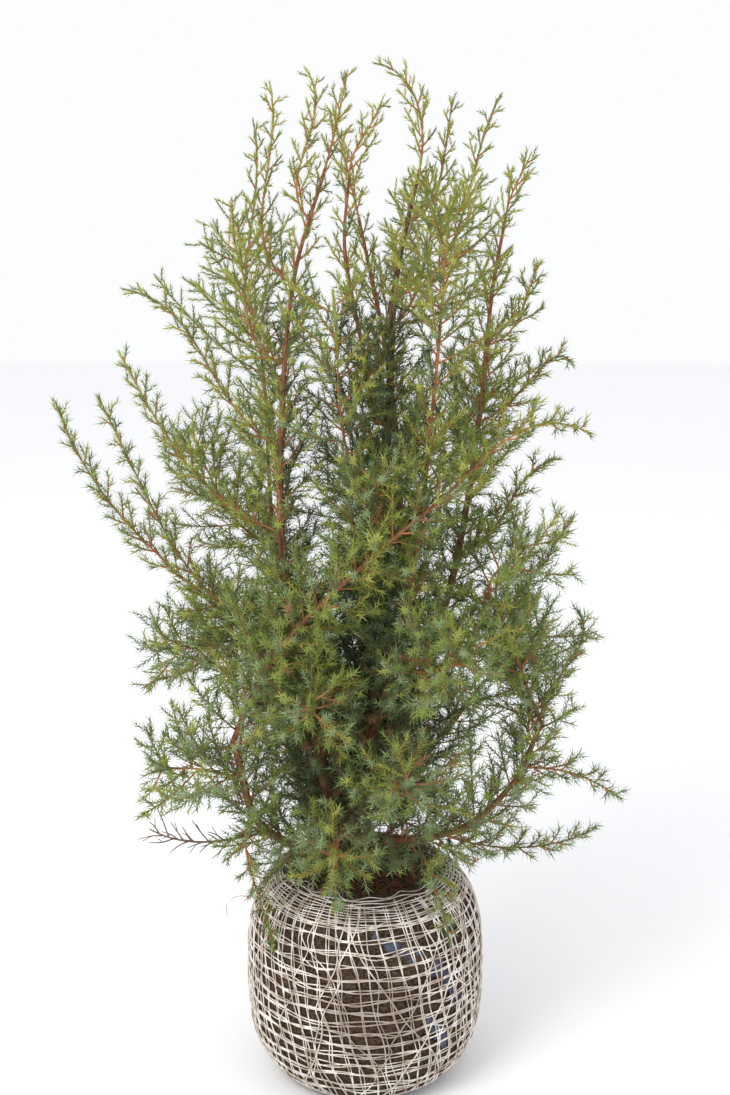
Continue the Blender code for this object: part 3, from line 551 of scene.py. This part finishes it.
def bent(start, middle, end, shares):
    """Points at the given shares of arcs from start to end that are drawn towards middle."""
    t = shares[..., None]
    return ((1 - t) ** 2 * start[:, None] + 2 * t * (1 - t) * middle[:, None]
            + t ** 2 * end[:, None])


def room_beside(points, own_limb):
    """How far each point may reach before it meets another limb, the ball or the crown's top."""
    found = []
    other = limb_owners != own_limb
    for batch in np.array_split(points, max(1, len(points) // ROOM_BATCH)):
        middles = distances_to(batch, limb_starts[other], limb_ends[other])
        to_limbs = (middles - limb_widths[other]).min(axis=1)
        free = np.minimum(np.minimum(to_limbs, room_round_ball(batch)), CROWN_TOP - batch[:, 2])
        found.append(free - SPACE_MARGIN)
    return np.concatenate(found)


def side_shoots(parents, space, step, longest, taper, angle, rise, points, draw):
    """Shoots round each parent a golden angle apart, cut where the space that they grow in ends.

    Returns an array of shoots by points by coordinates, with the room at each point.
    """
    starts, directions, reaches = [], [], []
    for parent in parents:
        gaps = np.linalg.norm(np.diff(parent, axis=0), axis=1)
        lengths = np.concatenate([[0], np.cumsum(gaps)])
        places = np.arange(step * draw.uniform(0.5, 1.0), lengths[-1] * LAST_SHOOT_SHARE, step)
        if not len(places):
            continue
        places = places + step * draw.uniform(-SHOOT_SCATTER, SHOOT_SCATTER, len(places))
        halfway = (lengths[1:] + lengths[:-1]) / 2
        ways = np.diff(parent, axis=0) / gaps[:, None]
        along = unit(np.column_stack([np.interp(places, halfway, ways[:, k]) for k in range(3)]))
        across = unit(np.cross(along, ASKEW))
        turn = draw.uniform(0, 2 * math.pi) + GOLDEN_ANGLE * np.arange(len(places))
        outward = np.cos(turn)[:, None] * across + np.sin(turn)[:, None] * np.cross(along, across)
        starts.append(np.column_stack([np.interp(places, lengths, parent[:, k]) for k in range(3)]))
        directions.append(math.sin(angle) * outward + math.cos(angle) * along)
        tapered = longest * (1 - taper * places / lengths[-1])
        reaches.append(tapered * draw.uniform(*SHOOT_LENGTHS, len(places)))
    if not starts:
        return np.zeros((0, points, 3)), np.zeros((0, points))
    start, direction = np.vstack(starts), np.vstack(directions)
    reach = np.concatenate(reaches)[:, None]
    end = start + direction * reach + UP * reach * draw.uniform(*rise, reach.shape)
    middle = start + direction * reach * 0.5
    shares = np.broadcast_to(np.linspace(0, 1, points), (len(start), points))
    rooms = space(bent(start, middle, end, shares).reshape(-1, 3)).reshape(-1, points)
    blocked = rooms[:, 1:] < LEAST_ROOM
    open_points = np.where(blocked.any(axis=1), np.argmax(blocked, axis=1), points - 1)
    open_share = open_points / (points - 1)
    kept = open_share * reach[:, 0] > LEAST_SHOOT
    shares = shares[kept] * open_share[kept, None]
    rooms = np.array([np.interp(share * (points - 1), np.arange(points), row)
                      for share, row in zip(shares, rooms[kept])]).reshape(-1, points)
    return bent(start[kept], middle[kept], end[kept], shares), rooms


def thin_tubes(shoots, foot_radius, tip_radius, every):
    """Corners and faces of three-sided twigs along the shoots, with a ring at every few points."""
    rings = shoots[:, ::every]
    count, length = rings.shape[:2]
    along = unit(np.gradient(rings, axis=1))
    across = unit(np.cross(along, ASKEW))
    beside = np.cross(along, across)
    radii = np.linspace(foot_radius, tip_radius, length)[None, :, None, None]
    angles = np.arange(3) * 2 * math.pi / 3
    spokes = (np.cos(angles)[None, None, :, None] * across[:, :, None]
              + np.sin(angles)[None, None, :, None] * beside[:, :, None])
    corners = (rings[:, :, None] + radii * spokes).reshape(-1, 3)
    faces = []
    for ring in range(length - 1):
        for side in range(3):
            a, b = ring * 3 + side, ring * 3 + (side + 1) % 3
            faces.extend([(a, b, b + 3), (a, b + 3, a + 3)])
    faces = np.array(faces)[None] + (np.arange(count) * length * 3)[:, None, None]
    return corners, faces.reshape(-1, 3)


def needles_on(shoots, rooms, first, draw):
    """Whorls of three needles along the shoots: foot, direction, face side and length of each."""
    count, points = shoots.shape[:2]
    gaps = np.linalg.norm(np.diff(shoots, axis=1), axis=2)
    lengths = gaps.sum(axis=1)
    whorls = np.maximum(2, (lengths / WHORL_STEP).astype(int))
    shoot = np.repeat(np.arange(count), whorls)
    number = np.arange(len(shoot)) - np.repeat(np.cumsum(whorls) - whorls, whorls)
    share = first + (1 - first) * (number + FIRST_WHORL) / whorls[shoot]
    place = np.clip(share, 0, 1) * (points - 1)
    i = np.minimum(place.astype(int), points - 2)
    part = (place - i)[:, None]
    foot = shoots[shoot, i] * (1 - part) + shoots[shoot, i + 1] * part
    free = rooms[shoot, i] * (1 - part[:, 0]) + rooms[shoot, i + 1] * part[:, 0]
    along = unit(shoots[shoot, i + 1] - shoots[shoot, i])
    across = unit(np.cross(along, ASKEW))
    beside = np.cross(along, across)
    round_shoot = np.arange(NEEDLES_A_WHORL) * 2 * math.pi / NEEDLES_A_WHORL
    turn = (number * math.pi / NEEDLES_A_WHORL)[:, None] + round_shoot
    turn = turn + draw.uniform(-WHORL_SCATTER, WHORL_SCATTER, turn.shape)
    outward = (np.cos(turn)[..., None] * across[:, None]
               + np.sin(turn)[..., None] * beside[:, None])
    height = np.clip((foot[:, 2] - OPEN_CROWN_FROM) / (OPEN_CROWN_TO - OPEN_CROWN_FROM), 0, 1)
    lean = LOW_NEEDLE_LEAN + (TOP_NEEDLE_LEAN - LOW_NEEDLE_LEAN) * height
    lean = lean * (1 - LEAN_LOST_AT_TIP * share ** 4)
    lean = lean[:, None] + draw.uniform(-LEAN_SCATTER, LEAN_SCATTER, turn.shape)
    lean = np.radians(lean)[..., None]
    length = LOW_NEEDLE_LENGTH + (TOP_NEEDLE_LENGTH - LOW_NEEDLE_LENGTH) * height
    length = length[:, None] * draw.uniform(*NEEDLE_LENGTHS, turn.shape)
    length = np.minimum(length, np.maximum(free, 0)[:, None] + NEEDLE_OVERHANG)
    direction = np.cos(lean) * along[:, None] + np.sin(lean) * outward
    lengthwise = np.einsum("wnk,wk->wn", direction, along)[..., None]
    face = unit(along[:, None] - lengthwise * direction)
    feet = np.broadcast_to(foot[:, None], direction.shape)
    return (feet.reshape(-1, 3), direction.reshape(-1, 3), face.reshape(-1, 3), length.ravel(),
            np.repeat(shoot, NEEDLES_A_WHORL))


def needle_blades(feet, directions, faces_up, lengths):
    """Stiff three-sided needles, widest at the foot: one pale face and two green backs each."""
    side = np.cross(faces_up, directions) * NEEDLE_WIDTH / 2
    tips = feet + directions * lengths[:, None] + faces_up * lengths[:, None] * NEEDLE_CURL
    corners = np.stack([feet + side, feet - side, feet - faces_up * NEEDLE_KEEL, tips], axis=1)
    pattern = np.array([(0, 3, 1), (0, 2, 3), (2, 1, 3)])
    faces = pattern[None] + (np.arange(len(feet)) * 4)[:, None, None]
    return corners.reshape(-1, 3), faces.reshape(-1, 3)


def plain_finish(name, colour, roughness, glow_through=0.0):
    """One even colour: each spray's tint is dealt out by giving it one of these."""
    finish = bpy.data.materials.new(name)
    finish.use_nodes = True
    shader = finish.node_tree.nodes["Principled BSDF"]
    shader.inputs["Base Color"].default_value = (*colour, 1)
    shader.inputs["Roughness"].default_value = roughness
    shader.inputs["Specular IOR Level"].default_value = 0.35
    shader.inputs["Subsurface Weight"].default_value = glow_through
    shader.inputs["Subsurface Radius"].default_value = (0.0006, 0.0010, 0.0003)
    return finish


def deal_colours(shoots, fresh_share, draw):
    """A kind of spray for each shoot, from its height, its distance from the middle, and chance.

    Low shoots are bluer and high ones fresher; near the trunk some are dry, and some are dark: painted
    shade for the inside of the crown.
    """
    tips = shoots[:, -1]
    height = np.clip((tips[:, 2] - CROWN_FOOT) / CROWN_HEIGHT, 0, 1)
    depth = np.hypot(tips[:, 0], tips[:, 1] * CROWN_FLATNESS) / CROWN_RADIUS
    chance = draw.uniform(0, 1, len(shoots))
    second = draw.uniform(0, 1, len(shoots))
    kinds = np.where(chance < BLUE_AT_FOOT - BLUE_LOST_BY_TOP * height, "blue", "green")
    fresh = fresh_share * (FRESH_AT_FOOT + FRESH_GAINED_BY_TOP * height ** 1.5)
    kinds = np.where(second < fresh, "fresh", kinds)
    # Painted shade: shoots deep inside the lower crown, where shade falls, get the dark green
    in_painted_shade = (depth < PAINTED_SHADE_INSIDE) & (height < PAINTED_SHADE_BELOW)
    kinds = np.where(in_painted_shade & (chance > 1 - PAINTED_SHADE_CHANCE), "dark", kinds)
    kinds = np.where((height < DRY_BELOW) & (second > 1 - DRY_CHANCE), "brown", kinds)
    by_trunk = (depth < DRY_BY_TRUNK) & (height < DRY_LOW)
    return np.where(by_trunk & (chance < DRY_LOW_CHANCE), "brown", kinds)


def joined(parts):
    """Several pairs of corners and faces as one pair."""
    starts = np.cumsum([0] + [len(corners) for corners, _ in parts[:-1]])
    return (np.vstack([corners for corners, _ in parts]),
            np.vstack([faces + start for (_, faces), start in zip(parts, starts)]))


def foliage_piece(name, corners, faces, finishes, slot_name, nodes):
    """One piece that stands for the masses, riding on the plant."""
    piece = mesh_piece(name, corners, faces, *finishes)
    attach(piece, "root")
    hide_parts(*nodes)
    return piece


stem_paths = []
for _, carrier, share, tip, tip_direction, habit in (*MASSES, DEAD_TWIG):
    start, direction = foot_on(carrier, share, np.array(tip), STEM_FOOT[habit["stem"]])
    stem_paths.append(arc_curve(start, direction, np.array(tip), tip_direction))
stem_starts, stem_ends, stem_owners = pieces_of(stem_paths)
limb_starts, limb_ends, limb_owners = pieces_of([path for path, _ in grown.values()])
limb_widths = np.concatenate([
    np.append(radii[:-1:COARSE], radii[-1:])[:-1] for _, radii in grown.values()])

mass_names = [mass[0] for mass in MASSES]
stem_tubes, shoot_tubes, fine_tubes = [], [], []
needles = {kind: [] for kind in NEEDLE_COLOURS}


def clothe(grown_shoots, free, first, fresh_share, draw):
    """Needles along some shoots, dealt out by the kind of each shoot."""
    kinds = deal_colours(grown_shoots, fresh_share, draw)
    feet, directions, faces_up, lengths, shoot = needles_on(grown_shoots, free, first, draw)
    for kind in needles:
        chosen = kinds[shoot] == kind
        needles[kind].append((feet[chosen], directions[chosen], faces_up[chosen], lengths[chosen]))


def grow_out(parents, space, habit, draw):
    """Side shoots on some parents, finer shoots on those, and the needles on both."""
    shoots, rooms = side_shoots(parents, space, habit["step"], habit["longest"], habit["taper"],
                                math.radians(habit["angle"]), SHOOT_RISE, SHOOT_POINTS, draw)
    fine, fine_rooms = side_shoots(shoots, space, habit["fine_step"], habit["fine_longest"],
                                   FINE_TAPER, math.radians(FINE_ANGLE), FINE_RISE, FINE_POINTS, draw)
    shoot_tubes.append(thin_tubes(shoots, SHOOT_RADIUS, FINE_RADIUS, 1))
    fine_tubes.append(thin_tubes(fine, FINE_RADIUS, FINE_RADIUS / 2, FINE_POINTS - 1))
    clothe(shoots, rooms, BARE_SHOOT, FRESH_SHOOT, draw)
    clothe(fine, fine_rooms, BARE_FINE, FRESH_FINE, draw)


for owner, (*_, habit) in enumerate(MASSES):
    draw = np.random.default_rng(owner + 1)
    path = stem_paths[owner]
    stem = path[None, np.linspace(0, len(path) - 1, SHOOT_POINTS * 2).round().astype(int)]
    stem_tubes.append(thin_tubes(stem, habit["stem"], FINE_RADIUS, 1))
    bare = BARE_SLENDER if habit is SLENDER else BARE_DENSE
    clothe(stem, room(stem[0], owner)[None], bare, FRESH_SHOOT, draw)
    grow_out([path], lambda points: room(points, owner), habit, draw)

for number, (path, _) in enumerate(grown.values()):
    draw = np.random.default_rng(len(MASSES) + number + 1)
    for low, high, habit in LIMB_STRETCHES:
        stretch = path[(path[:, 2] > low) & (path[:, 2] <= high)]
        if len(stretch) > 3:
            grow_out([stretch], lambda points: room_beside(points, number), habit, draw)

twig_finish = plain_finish("young_shoot", (0.430, 0.165, 0.062), 0.55)
fine_finish = plain_finish("fine_shoot", (0.340, 0.190, 0.062), 0.60)
foliage_piece("mass_stems", *joined(stem_tubes), [twig_finish], "needles", mass_names)
foliage_piece("side_shoots", *joined(shoot_tubes), [twig_finish], "needles", mass_names)
foliage_piece("fine_shoots", *joined(fine_tubes), [fine_finish], "needles", mass_names)

needles_a_piece = MOST_TRIANGLES // 3
for kind, (back, band) in NEEDLE_COLOURS.items():
    back_finish = plain_finish(f"needle_back_{kind}", back, 0.50, 0.10)
    band_finish = plain_finish(f"needle_band_{kind}", band, 0.65, 0.10)
    columns = [np.concatenate(column) for column in zip(*needles[kind])]
    for part, start in enumerate(range(0, len(columns[0]), needles_a_piece)):
        chosen = slice(start, start + needles_a_piece)
        corners, faces = needle_blades(*(column[chosen] for column in columns))
        piece = foliage_piece(f"needles_{kind}_{part}", corners, faces, [back_finish, band_finish],
                              "needles", mass_names)
        sides = np.tile(np.array([1, 0, 0], np.int32), len(faces) // 3)
        piece.data.polygons.foreach_set("material_index", sides)


# Dead twig
# A dry twig low on the left that has lost its needles: grey-brown, brittle, with short bare
# side twigs towards its tip.
DEAD_SIDE_TWIGS = 15
DEAD_SIDE_LENGTH = 0.026
DEAD_FIRST_SHARE = 0.30
DEAD_LAST_SHARE = 0.95
DEAD_SIDES = 8
DEAD_RADII = (0.0015, 0.0007)
DEAD_SIDE_RADII = (0.0008, 0.0004)
DEAD_SIDE_WAY = (0.9, 0.3)
DEAD_FORK_SHARE = 0.45
DEAD_FORK_LENGTH = 0.4

dead_path = stem_paths[-1]
dead_draw = random.Random("dead twig")
dead_frames = frames(dead_path)
dead_rows = np.linspace(*DEAD_RADII, len(dead_path))[:, None] * np.ones(DEAD_SIDES)
dead_parts = [tube(dead_path, dead_rows)]
for n in range(DEAD_SIDE_TWIGS):
    share = DEAD_FIRST_SHARE + (DEAD_LAST_SHARE - DEAD_FIRST_SHARE) * n / DEAD_SIDE_TWIGS
    place, along = at_share(dead_path, share)
    across, beside = dead_frames[int(share * (len(dead_path) - 1))]
    outward = math.cos(n * GOLDEN_ANGLE) * across + math.sin(n * GOLDEN_ANGLE) * beside
    way = unit(outward + DEAD_SIDE_WAY[0] * along + DEAD_SIDE_WAY[1] * UP)
    end = place + way * DEAD_SIDE_LENGTH * dead_draw.uniform(0.7, 1.2)
    bend = (place + end) / 2 + UP * dead_draw.uniform(-0.002, 0.002)
    side_path = smooth_curve([place, bend, end])
    side_rows = np.linspace(*DEAD_SIDE_RADII, len(side_path))[:, None] * np.ones(DEAD_SIDES)
    dead_parts.append(tube(side_path, side_rows))
    fork_foot, fork_along = at_share(side_path, DEAD_FORK_SHARE)
    fork_way = unit(fork_along + 0.8 * np.cross(along, outward))
    fork_end = fork_foot + fork_way * DEAD_SIDE_LENGTH * DEAD_FORK_LENGTH
    fork = smooth_curve([fork_foot, (fork_foot + fork_end) / 2, fork_end])
    dead_parts.append(tube(fork, np.full((len(fork), DEAD_SIDES), DEAD_SIDE_RADII[1])))
dead_finish = bark_finish("dead_wood", 1.6, (0.110, 0.070, 0.050), (0.300, 0.190, 0.130), 0.9)
dead_piece = mesh_piece("dead_twig_wood", *joined(dead_parts), dead_finish)
dead_piece.data.shade_smooth()
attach(dead_piece, "root")
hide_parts("dead_twig")


# Root ball
# Dark moist nursery soil held by fine roots: lumpy and crumbly all round, flat underneath,
# with a shallow dish on top where the trunk stands.
SOIL_SIDES = 240
SOIL_RINGS = 84
DISH_RINGS = 26
DISH_EDGE = 0.2
SOIL_LUMP = 0.0014
SOIL_LUMP_SPACING = (0.020, 0.060)
SOIL_CRUMB = 0.0007
SOIL_CRUMB_SPACING = (0.002, 0.008)
DISH_RELIEF = 0.6
SOIL_WAVES = 90


def roughened(points, finest, coarsest, waves, seed):
    """A sum of random waves in space at each point, about -1 to 1."""
    draw = np.random.default_rng(seed)
    total = np.zeros(len(points))
    for _ in range(waves):
        heading = unit(draw.normal(size=3))
        spacing = math.exp(draw.uniform(math.log(finest), math.log(coarsest)))
        total += np.sin(points @ heading * (2 * math.pi / spacing) + draw.uniform(0, 2 * math.pi))
    return total * math.sqrt(2 / waves) / 2


def soil_mesh():
    """The ball's side from foot to rim, then its dish from rim to middle, closed underneath."""
    climb = np.linspace(-math.pi / 2, math.pi / 2, SOIL_RINGS)
    heights = BALL_HEIGHT / 2 * (1 + np.sin(climb))
    profile = [(ball_radius(height), height) for height in heights]
    rim = profile[-1][0]
    for share in np.linspace(0, 1, DISH_RINGS)[1:]:
        depth = (BALL_HEIGHT - SOIL_HEIGHT) * min(1.0, share / DISH_EDGE)
        profile.append((rim * (1 - share) + 0.0005, BALL_HEIGHT - depth))
    radii, heights = np.array(profile).T
    angles = np.arange(SOIL_SIDES) * 2 * math.pi / SOIL_SIDES
    ring = np.stack([np.cos(angles), np.sin(angles)], -1)
    levels = np.broadcast_to(heights[:, None, None], (len(radii), SOIL_SIDES, 1))
    flat = np.concatenate([radii[:, None, None] * ring[None], levels], -1).reshape(-1, 3)
    lump = SOIL_LUMP * roughened(flat, *SOIL_LUMP_SPACING, SOIL_WAVES, 1)
    crumb = SOIL_CRUMB * np.maximum(0, roughened(flat, *SOIL_CRUMB_SPACING, SOIL_WAVES, 2)) * 2
    on_side = np.repeat(np.arange(len(radii)) < SOIL_RINGS, SOIL_SIDES)
    swell = np.repeat(np.sin(math.pi * np.clip(heights / BALL_HEIGHT, 0, 1)), SOIL_SIDES)
    outward = np.column_stack([flat[:, :2], np.zeros(len(flat))])
    flat = flat + unit(outward) * ((lump - SOIL_LUMP + crumb) * swell * on_side)[:, None]
    flat[:, 2] += np.where(on_side, 0, (lump + crumb) * DISH_RELIEF)
    under = np.array([[0, 0, 0]])
    faces = np.vstack([skin(len(radii), SOIL_SIDES), closing_fan(SOIL_SIDES, len(flat))])
    return np.vstack([flat, under]), faces


soil_finish = grained_finish("soil", ((1, 1, 1), 420, 8), (0.34, (0.010, 0.006, 0.004)),
                             (0.74, (0.125, 0.080, 0.050)), 0.95, 0.2, 0.0012)
soil_piece = mesh_piece("root_ball_soil", *soil_mesh(), soil_finish)
soil_piece.data.shade_smooth()
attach(soil_piece, "root")
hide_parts("root_ball")


# Litter
# Dry rust-coloured needles that have dropped from the crown onto the soil in the dish, where
# they lie loose, one over another.
LITTER_NEEDLES = 1500
LITTER_RADIUS = 0.060
LITTER_LEVELS = (0.0002, 0.0022)
LITTER_LENGTHS = (0.005, 0.010)

litter_draw = np.random.default_rng(7)
litter_turn = litter_draw.uniform(0, 2 * math.pi, LITTER_NEEDLES)
litter_out = LITTER_RADIUS * np.sqrt(litter_draw.uniform(0, 1, LITTER_NEEDLES))
litter_level = SOIL_HEIGHT + litter_draw.uniform(*LITTER_LEVELS, LITTER_NEEDLES)
litter_feet = np.column_stack([litter_out * np.cos(litter_turn), litter_out * np.sin(litter_turn),
                               litter_level])
litter_ways = unit(litter_draw.normal(size=(LITTER_NEEDLES, 3)) * (1, 1, 0.25))
litter_faces = unit(UP - np.einsum("nk,k->n", litter_ways, UP)[:, None] * litter_ways)
litter_lengths = litter_draw.uniform(*LITTER_LENGTHS, LITTER_NEEDLES)
litter_mesh = needle_blades(litter_feet, litter_ways, litter_faces, litter_lengths)
litter_finish = plain_finish("dry_needle", (0.260, 0.095, 0.035), 0.8)
litter_piece = mesh_piece("litter", *litter_mesh, litter_finish)
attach(litter_piece, "root")


# Scrap of wrap
# Torn strips of thin blue-grey fleece that lie on the soil, from the middle of the rim to the
# lower right. Nothing but the net holds them down.
SCRAP_ROUTES = (
    ((-1.50, 0.193), (-1.28, 0.178), (-1.00, 0.160), (-0.80, 0.132), (-0.68, 0.096),
     (-0.62, 0.066)),
    ((-1.06, 0.106), (-0.96, 0.092), (-0.88, 0.078), (-0.84, 0.060)),
)
SCRAP_WIDTH = 0.015
SCRAP_STANDOFF = 0.0002
SCRAP_ACROSS = 7
SCRAP_STEP = 0.002
SCRAP_TEARS = (150, 900)


def scrap_strip(route, seed):
    """One strip that follows the ball through (angle, height) points, with torn edges."""
    draw = random.Random(seed)
    flat = smooth_curve([(angle * BALL_RADIUS, height, 0) for angle, height in route], SCRAP_STEP)
    along = unit(np.gradient(flat, axis=0))
    beside = np.cross(along, UP)
    places = np.arange(len(flat)) * SCRAP_STEP
    tear = sum(np.sin(places * draw.uniform(*SCRAP_TEARS) + draw.uniform(0, 6)) for _ in range(5))
    taper = np.sin(math.pi * np.linspace(0.12, 0.88, len(flat)))
    widths = SCRAP_WIDTH * taper * (1 + tear / 9)
    shares = np.linspace(-0.5, 0.5, SCRAP_ACROSS)[:, None]
    spread = flat[:, None] + beside[:, None] * widths[:, None, None] * shares
    angles, heights = spread[..., 0] / BALL_RADIUS, spread[..., 1]
    radii = ball_radius(heights) + SCRAP_STANDOFF
    corners = np.stack([radii * np.cos(angles), radii * np.sin(angles), heights], -1).reshape(-1, 3)
    return corners, skin(len(flat), SCRAP_ACROSS, closed=False)


scrap_parts = [scrap_strip(route, f"scrap {number}") for number, route in enumerate(SCRAP_ROUTES)]
scrap_finish = grained_finish("wrap_scrap", ((1, 1, 1), 160, 5), (0.36, (0.018, 0.020, 0.030)),
                              (0.66, (0.080, 0.100, 0.155)), 0.8, 0.5, 0.0006)
scrap_piece = mesh_piece("wrap_scraps", *joined(scrap_parts), scrap_finish)
scrap_piece.data.shade_smooth()
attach(scrap_piece, "root")


# Net
# Knotless net of off-white cotton thread, drawn tight over the ball by hand: a square mesh,
# crossed by a second layer that lies askew, and gathered into the rim.
THREAD_RADIUS = 0.0006
THREAD_RADII = (0.75, 1.25)
THREAD_SIDES = 5
THREAD_STANDOFF = 0.0010
SECOND_LAYER = 0.0020
NET_FOOT = 0.012
NET_RIM = 0.018
LEAST_THREAD_HEIGHT = 0.004
NET_ROWS = 17
NET_COLUMNS = 54
STRANDS = 3
STRAND_SPREAD = 0.0032
NET_TILT = -0.34
SLANT_WAVER = 0.0034
SLANT_THREADS = 34
SLANT_TURNS = (0.30, 1.15)
RIM_ROWS = 13
RIM_DEPTH = 0.020
RIM_CROWDING = 1.4
NET_WAVER = 0.0015
RIM_WAVER = 0.0004
DARKER_PATCH = (0.014, -0.120, 0.112)
LOOSE_END = ((-0.098, -0.068, 0.207), (-0.112, -0.076, 0.219), (-0.126, -0.082, 0.221),
             (-0.134, -0.085, 0.214), (-0.133, -0.086, 0.205))


def thread_on_ball(angles, heights, standoff, seed, waver_reach):
    """One thread over the ball, wavering a little, as corners and faces."""
    draw = random.Random(seed)
    waver = np.zeros(len(angles))
    for _ in range(4):
        round_count, rise = draw.randint(2, 13), draw.uniform(20, 130)
        wave = np.sin(angles * round_count + heights * rise + draw.uniform(0, 2 * math.pi))
        waver = waver + math.sqrt(0.5) * wave
    heights = np.clip(heights + waver_reach * waver, LEAST_THREAD_HEIGHT, BALL_HEIGHT + 0.001)
    turned = angles + waver_reach / BALL_RADIUS * waver + draw.uniform(-0.03, 0.03)
    radii = ball_radius(np.minimum(heights, BALL_HEIGHT)) + standoff
    path = np.column_stack([radii * np.cos(turned), radii * np.sin(turned), heights])
    rows = np.full((len(path), THREAD_SIDES), THREAD_RADIUS * draw.uniform(*THREAD_RADII))
    return tube(path, rows)


net_parts = []
round_ball = np.linspace(0, 2 * math.pi, 130)
climb = np.linspace(0.05, 0.98, 40)
net_draw = random.Random("net")
for row in range(NET_ROWS):
    level = NET_FOOT + (BALL_HEIGHT - NET_FOOT - NET_RIM) * row / (NET_ROWS - 1)
    for strand in range(STRANDS):
        heights = np.full(len(round_ball), level + STRAND_SPREAD * net_draw.uniform(-0.5, 0.5))
        net_parts.append(thread_on_ball(round_ball, heights, THREAD_STANDOFF, f"row {row} {strand}",
                                        NET_WAVER))
for row in range(RIM_ROWS):
    below = RIM_DEPTH * (1 - row / RIM_ROWS) ** RIM_CROWDING
    heights = np.full(len(round_ball), BALL_HEIGHT - below)
    net_parts.append(thread_on_ball(round_ball, heights, SECOND_LAYER, f"rim {row}", RIM_WAVER))
for column in range(NET_COLUMNS):
    for strand in range(STRANDS - 1):
        aside = STRAND_SPREAD / BALL_RADIUS * net_draw.uniform(-0.5, 0.5)
        start = 2 * math.pi * column / NET_COLUMNS + aside
        net_parts.append(thread_on_ball(start + NET_TILT * climb, BALL_HEIGHT * climb, THREAD_STANDOFF,
                                        f"column {column} {strand}", NET_WAVER))
for slant in range(SLANT_THREADS):
    start = 2 * math.pi * (slant + net_draw.uniform(-0.4, 0.4)) / SLANT_THREADS
    way = 1 if slant % 3 else -1
    turn = way * net_draw.uniform(*SLANT_TURNS)
    net_parts.append(thread_on_ball(start + turn * climb, BALL_HEIGHT * climb, SECOND_LAYER,
                                    f"slant {slant}", SLANT_WAVER))
loose_path = smooth_curve(LOOSE_END, 0.002)
net_parts.append(tube(loose_path, np.full((len(loose_path), THREAD_SIDES), THREAD_RADIUS * 0.8)))


def thread_finish():
    """Off-white cotton with soil rubbed into it, and darker and browner in one patch at the front."""
    finish = grained_finish("net_thread", ((1, 1, 1), 90, 6), (0.34, (0.400, 0.315, 0.245)),
                            (0.62, (0.880, 0.825, 0.760)), 0.85, 0.25)
    nodes, links = finish.node_tree.nodes, finish.node_tree.links
    # The threads turn darker and browner towards one patch at the front of the ball.
    from_patch = nodes.new("ShaderNodeVectorMath")
    from_patch.operation = "DISTANCE"
    from_patch.inputs[1].default_value = DARKER_PATCH
    patch_fade = nodes.new("ShaderNodeMapRange")
    patch_fade.interpolation_type = "SMOOTHSTEP"
    for socket, value in (("From Min", 0.030), ("From Max", 0.068), ("To Min", 0.72), ("To Max", 0)):
        patch_fade.inputs[socket].default_value = value
    patch_tint = nodes.new("ShaderNodeMix")
    patch_tint.data_type = "RGBA"
    patch_tint.inputs["B"].default_value = (0.250, 0.185, 0.140, 1)
    links.new(nodes["Texture Coordinate"].outputs["Object"], from_patch.inputs[0])
    links.new(from_patch.outputs["Value"], patch_fade.inputs["Value"])
    links.new(patch_fade.outputs["Result"], patch_tint.inputs["Factor"])
    links.new(nodes["Color Ramp"].outputs["Color"], patch_tint.inputs["A"])
    links.new(patch_tint.outputs["Result"], nodes["Principled BSDF"].inputs["Base Color"])
    return finish


net_piece = mesh_piece("net_threads", *joined(net_parts), thread_finish())
net_piece.data.shade_smooth()
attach(net_piece, "root")
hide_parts("net")


# Stage
# A plain pale floor under soft studio light, seen as a standing person sees the plant. The
# floor is one matt sheet, and two square lamps help the light that comes from all round.
CAMERA_HEIGHT = 0.90
CAMERA_DISTANCE = 1.43
CAMERA_PITCH = math.radians(13.78)
CAMERA_LENS = 49.97
SENSOR = 36.0
FLOOR_REACH = 6
LAMP_SIZE = 1.4
PLANT_MIDDLE = (0, 0, 0.5)


def area_light(name, place, power, colour):
    """A square soft light aimed at the middle of the plant."""
    lamp = bpy.data.lights.new(name, "AREA")
    lamp.size = LAMP_SIZE
    lamp.energy = power
    lamp.color = colour
    made = bpy.data.objects.new(name, lamp)
    made.location = place
    aim = bpy.data.objects.new(name + "_aim", None)
    aim.location = PLANT_MIDDLE
    bpy.context.scene.collection.objects.link(aim)
    track = made.constraints.new("TRACK_TO")
    track.target = aim
    track.track_axis = "TRACK_NEGATIVE_Z"
    track.up_axis = "UP_Y"
    bpy.context.scene.collection.objects.link(made)


floor_corners = FLOOR_REACH * np.array([(-1, -1, 0), (1, -1, 0), (1, 1, 0), (-1, 1, 0)], float)
floor_finish = bpy.data.materials.new("floor")
floor_finish.use_nodes = True
floor_shader = floor_finish.node_tree.nodes["Principled BSDF"]
floor_shader.inputs["Base Color"].default_value = (0.93, 0.935, 0.945, 1)
floor_shader.inputs["Roughness"].default_value = 0.9
mesh_piece("floor", floor_corners, np.array([[0, 1, 2, 3]]), floor_finish)
area_light("key", (-1.6, -2.0, 2.6), 62, (1.0, 0.98, 0.94))
area_light("fill", (2.4, -1.2, 1.6), 10, (0.95, 0.98, 1.0))

world = bpy.data.worlds.new("studio")
world.use_nodes = True
world.node_tree.nodes["Background"].inputs["Color"].default_value = (0.97, 0.98, 1.0, 1)
world.node_tree.nodes["Background"].inputs["Strength"].default_value = 1.0
bpy.context.scene.world = world
bpy.context.scene.view_settings.view_transform = "Standard"

camera = bpy.data.cameras.new("camera")
camera.lens = CAMERA_LENS
camera.sensor_width = SENSOR
viewer = bpy.data.objects.new("camera", camera)
viewer.location = (0, -CAMERA_DISTANCE, CAMERA_HEIGHT)
viewer.rotation_euler = (math.pi / 2 - CAMERA_PITCH, 0, 0)
bpy.context.scene.collection.objects.link(viewer)
bpy.context.scene.camera = viewer
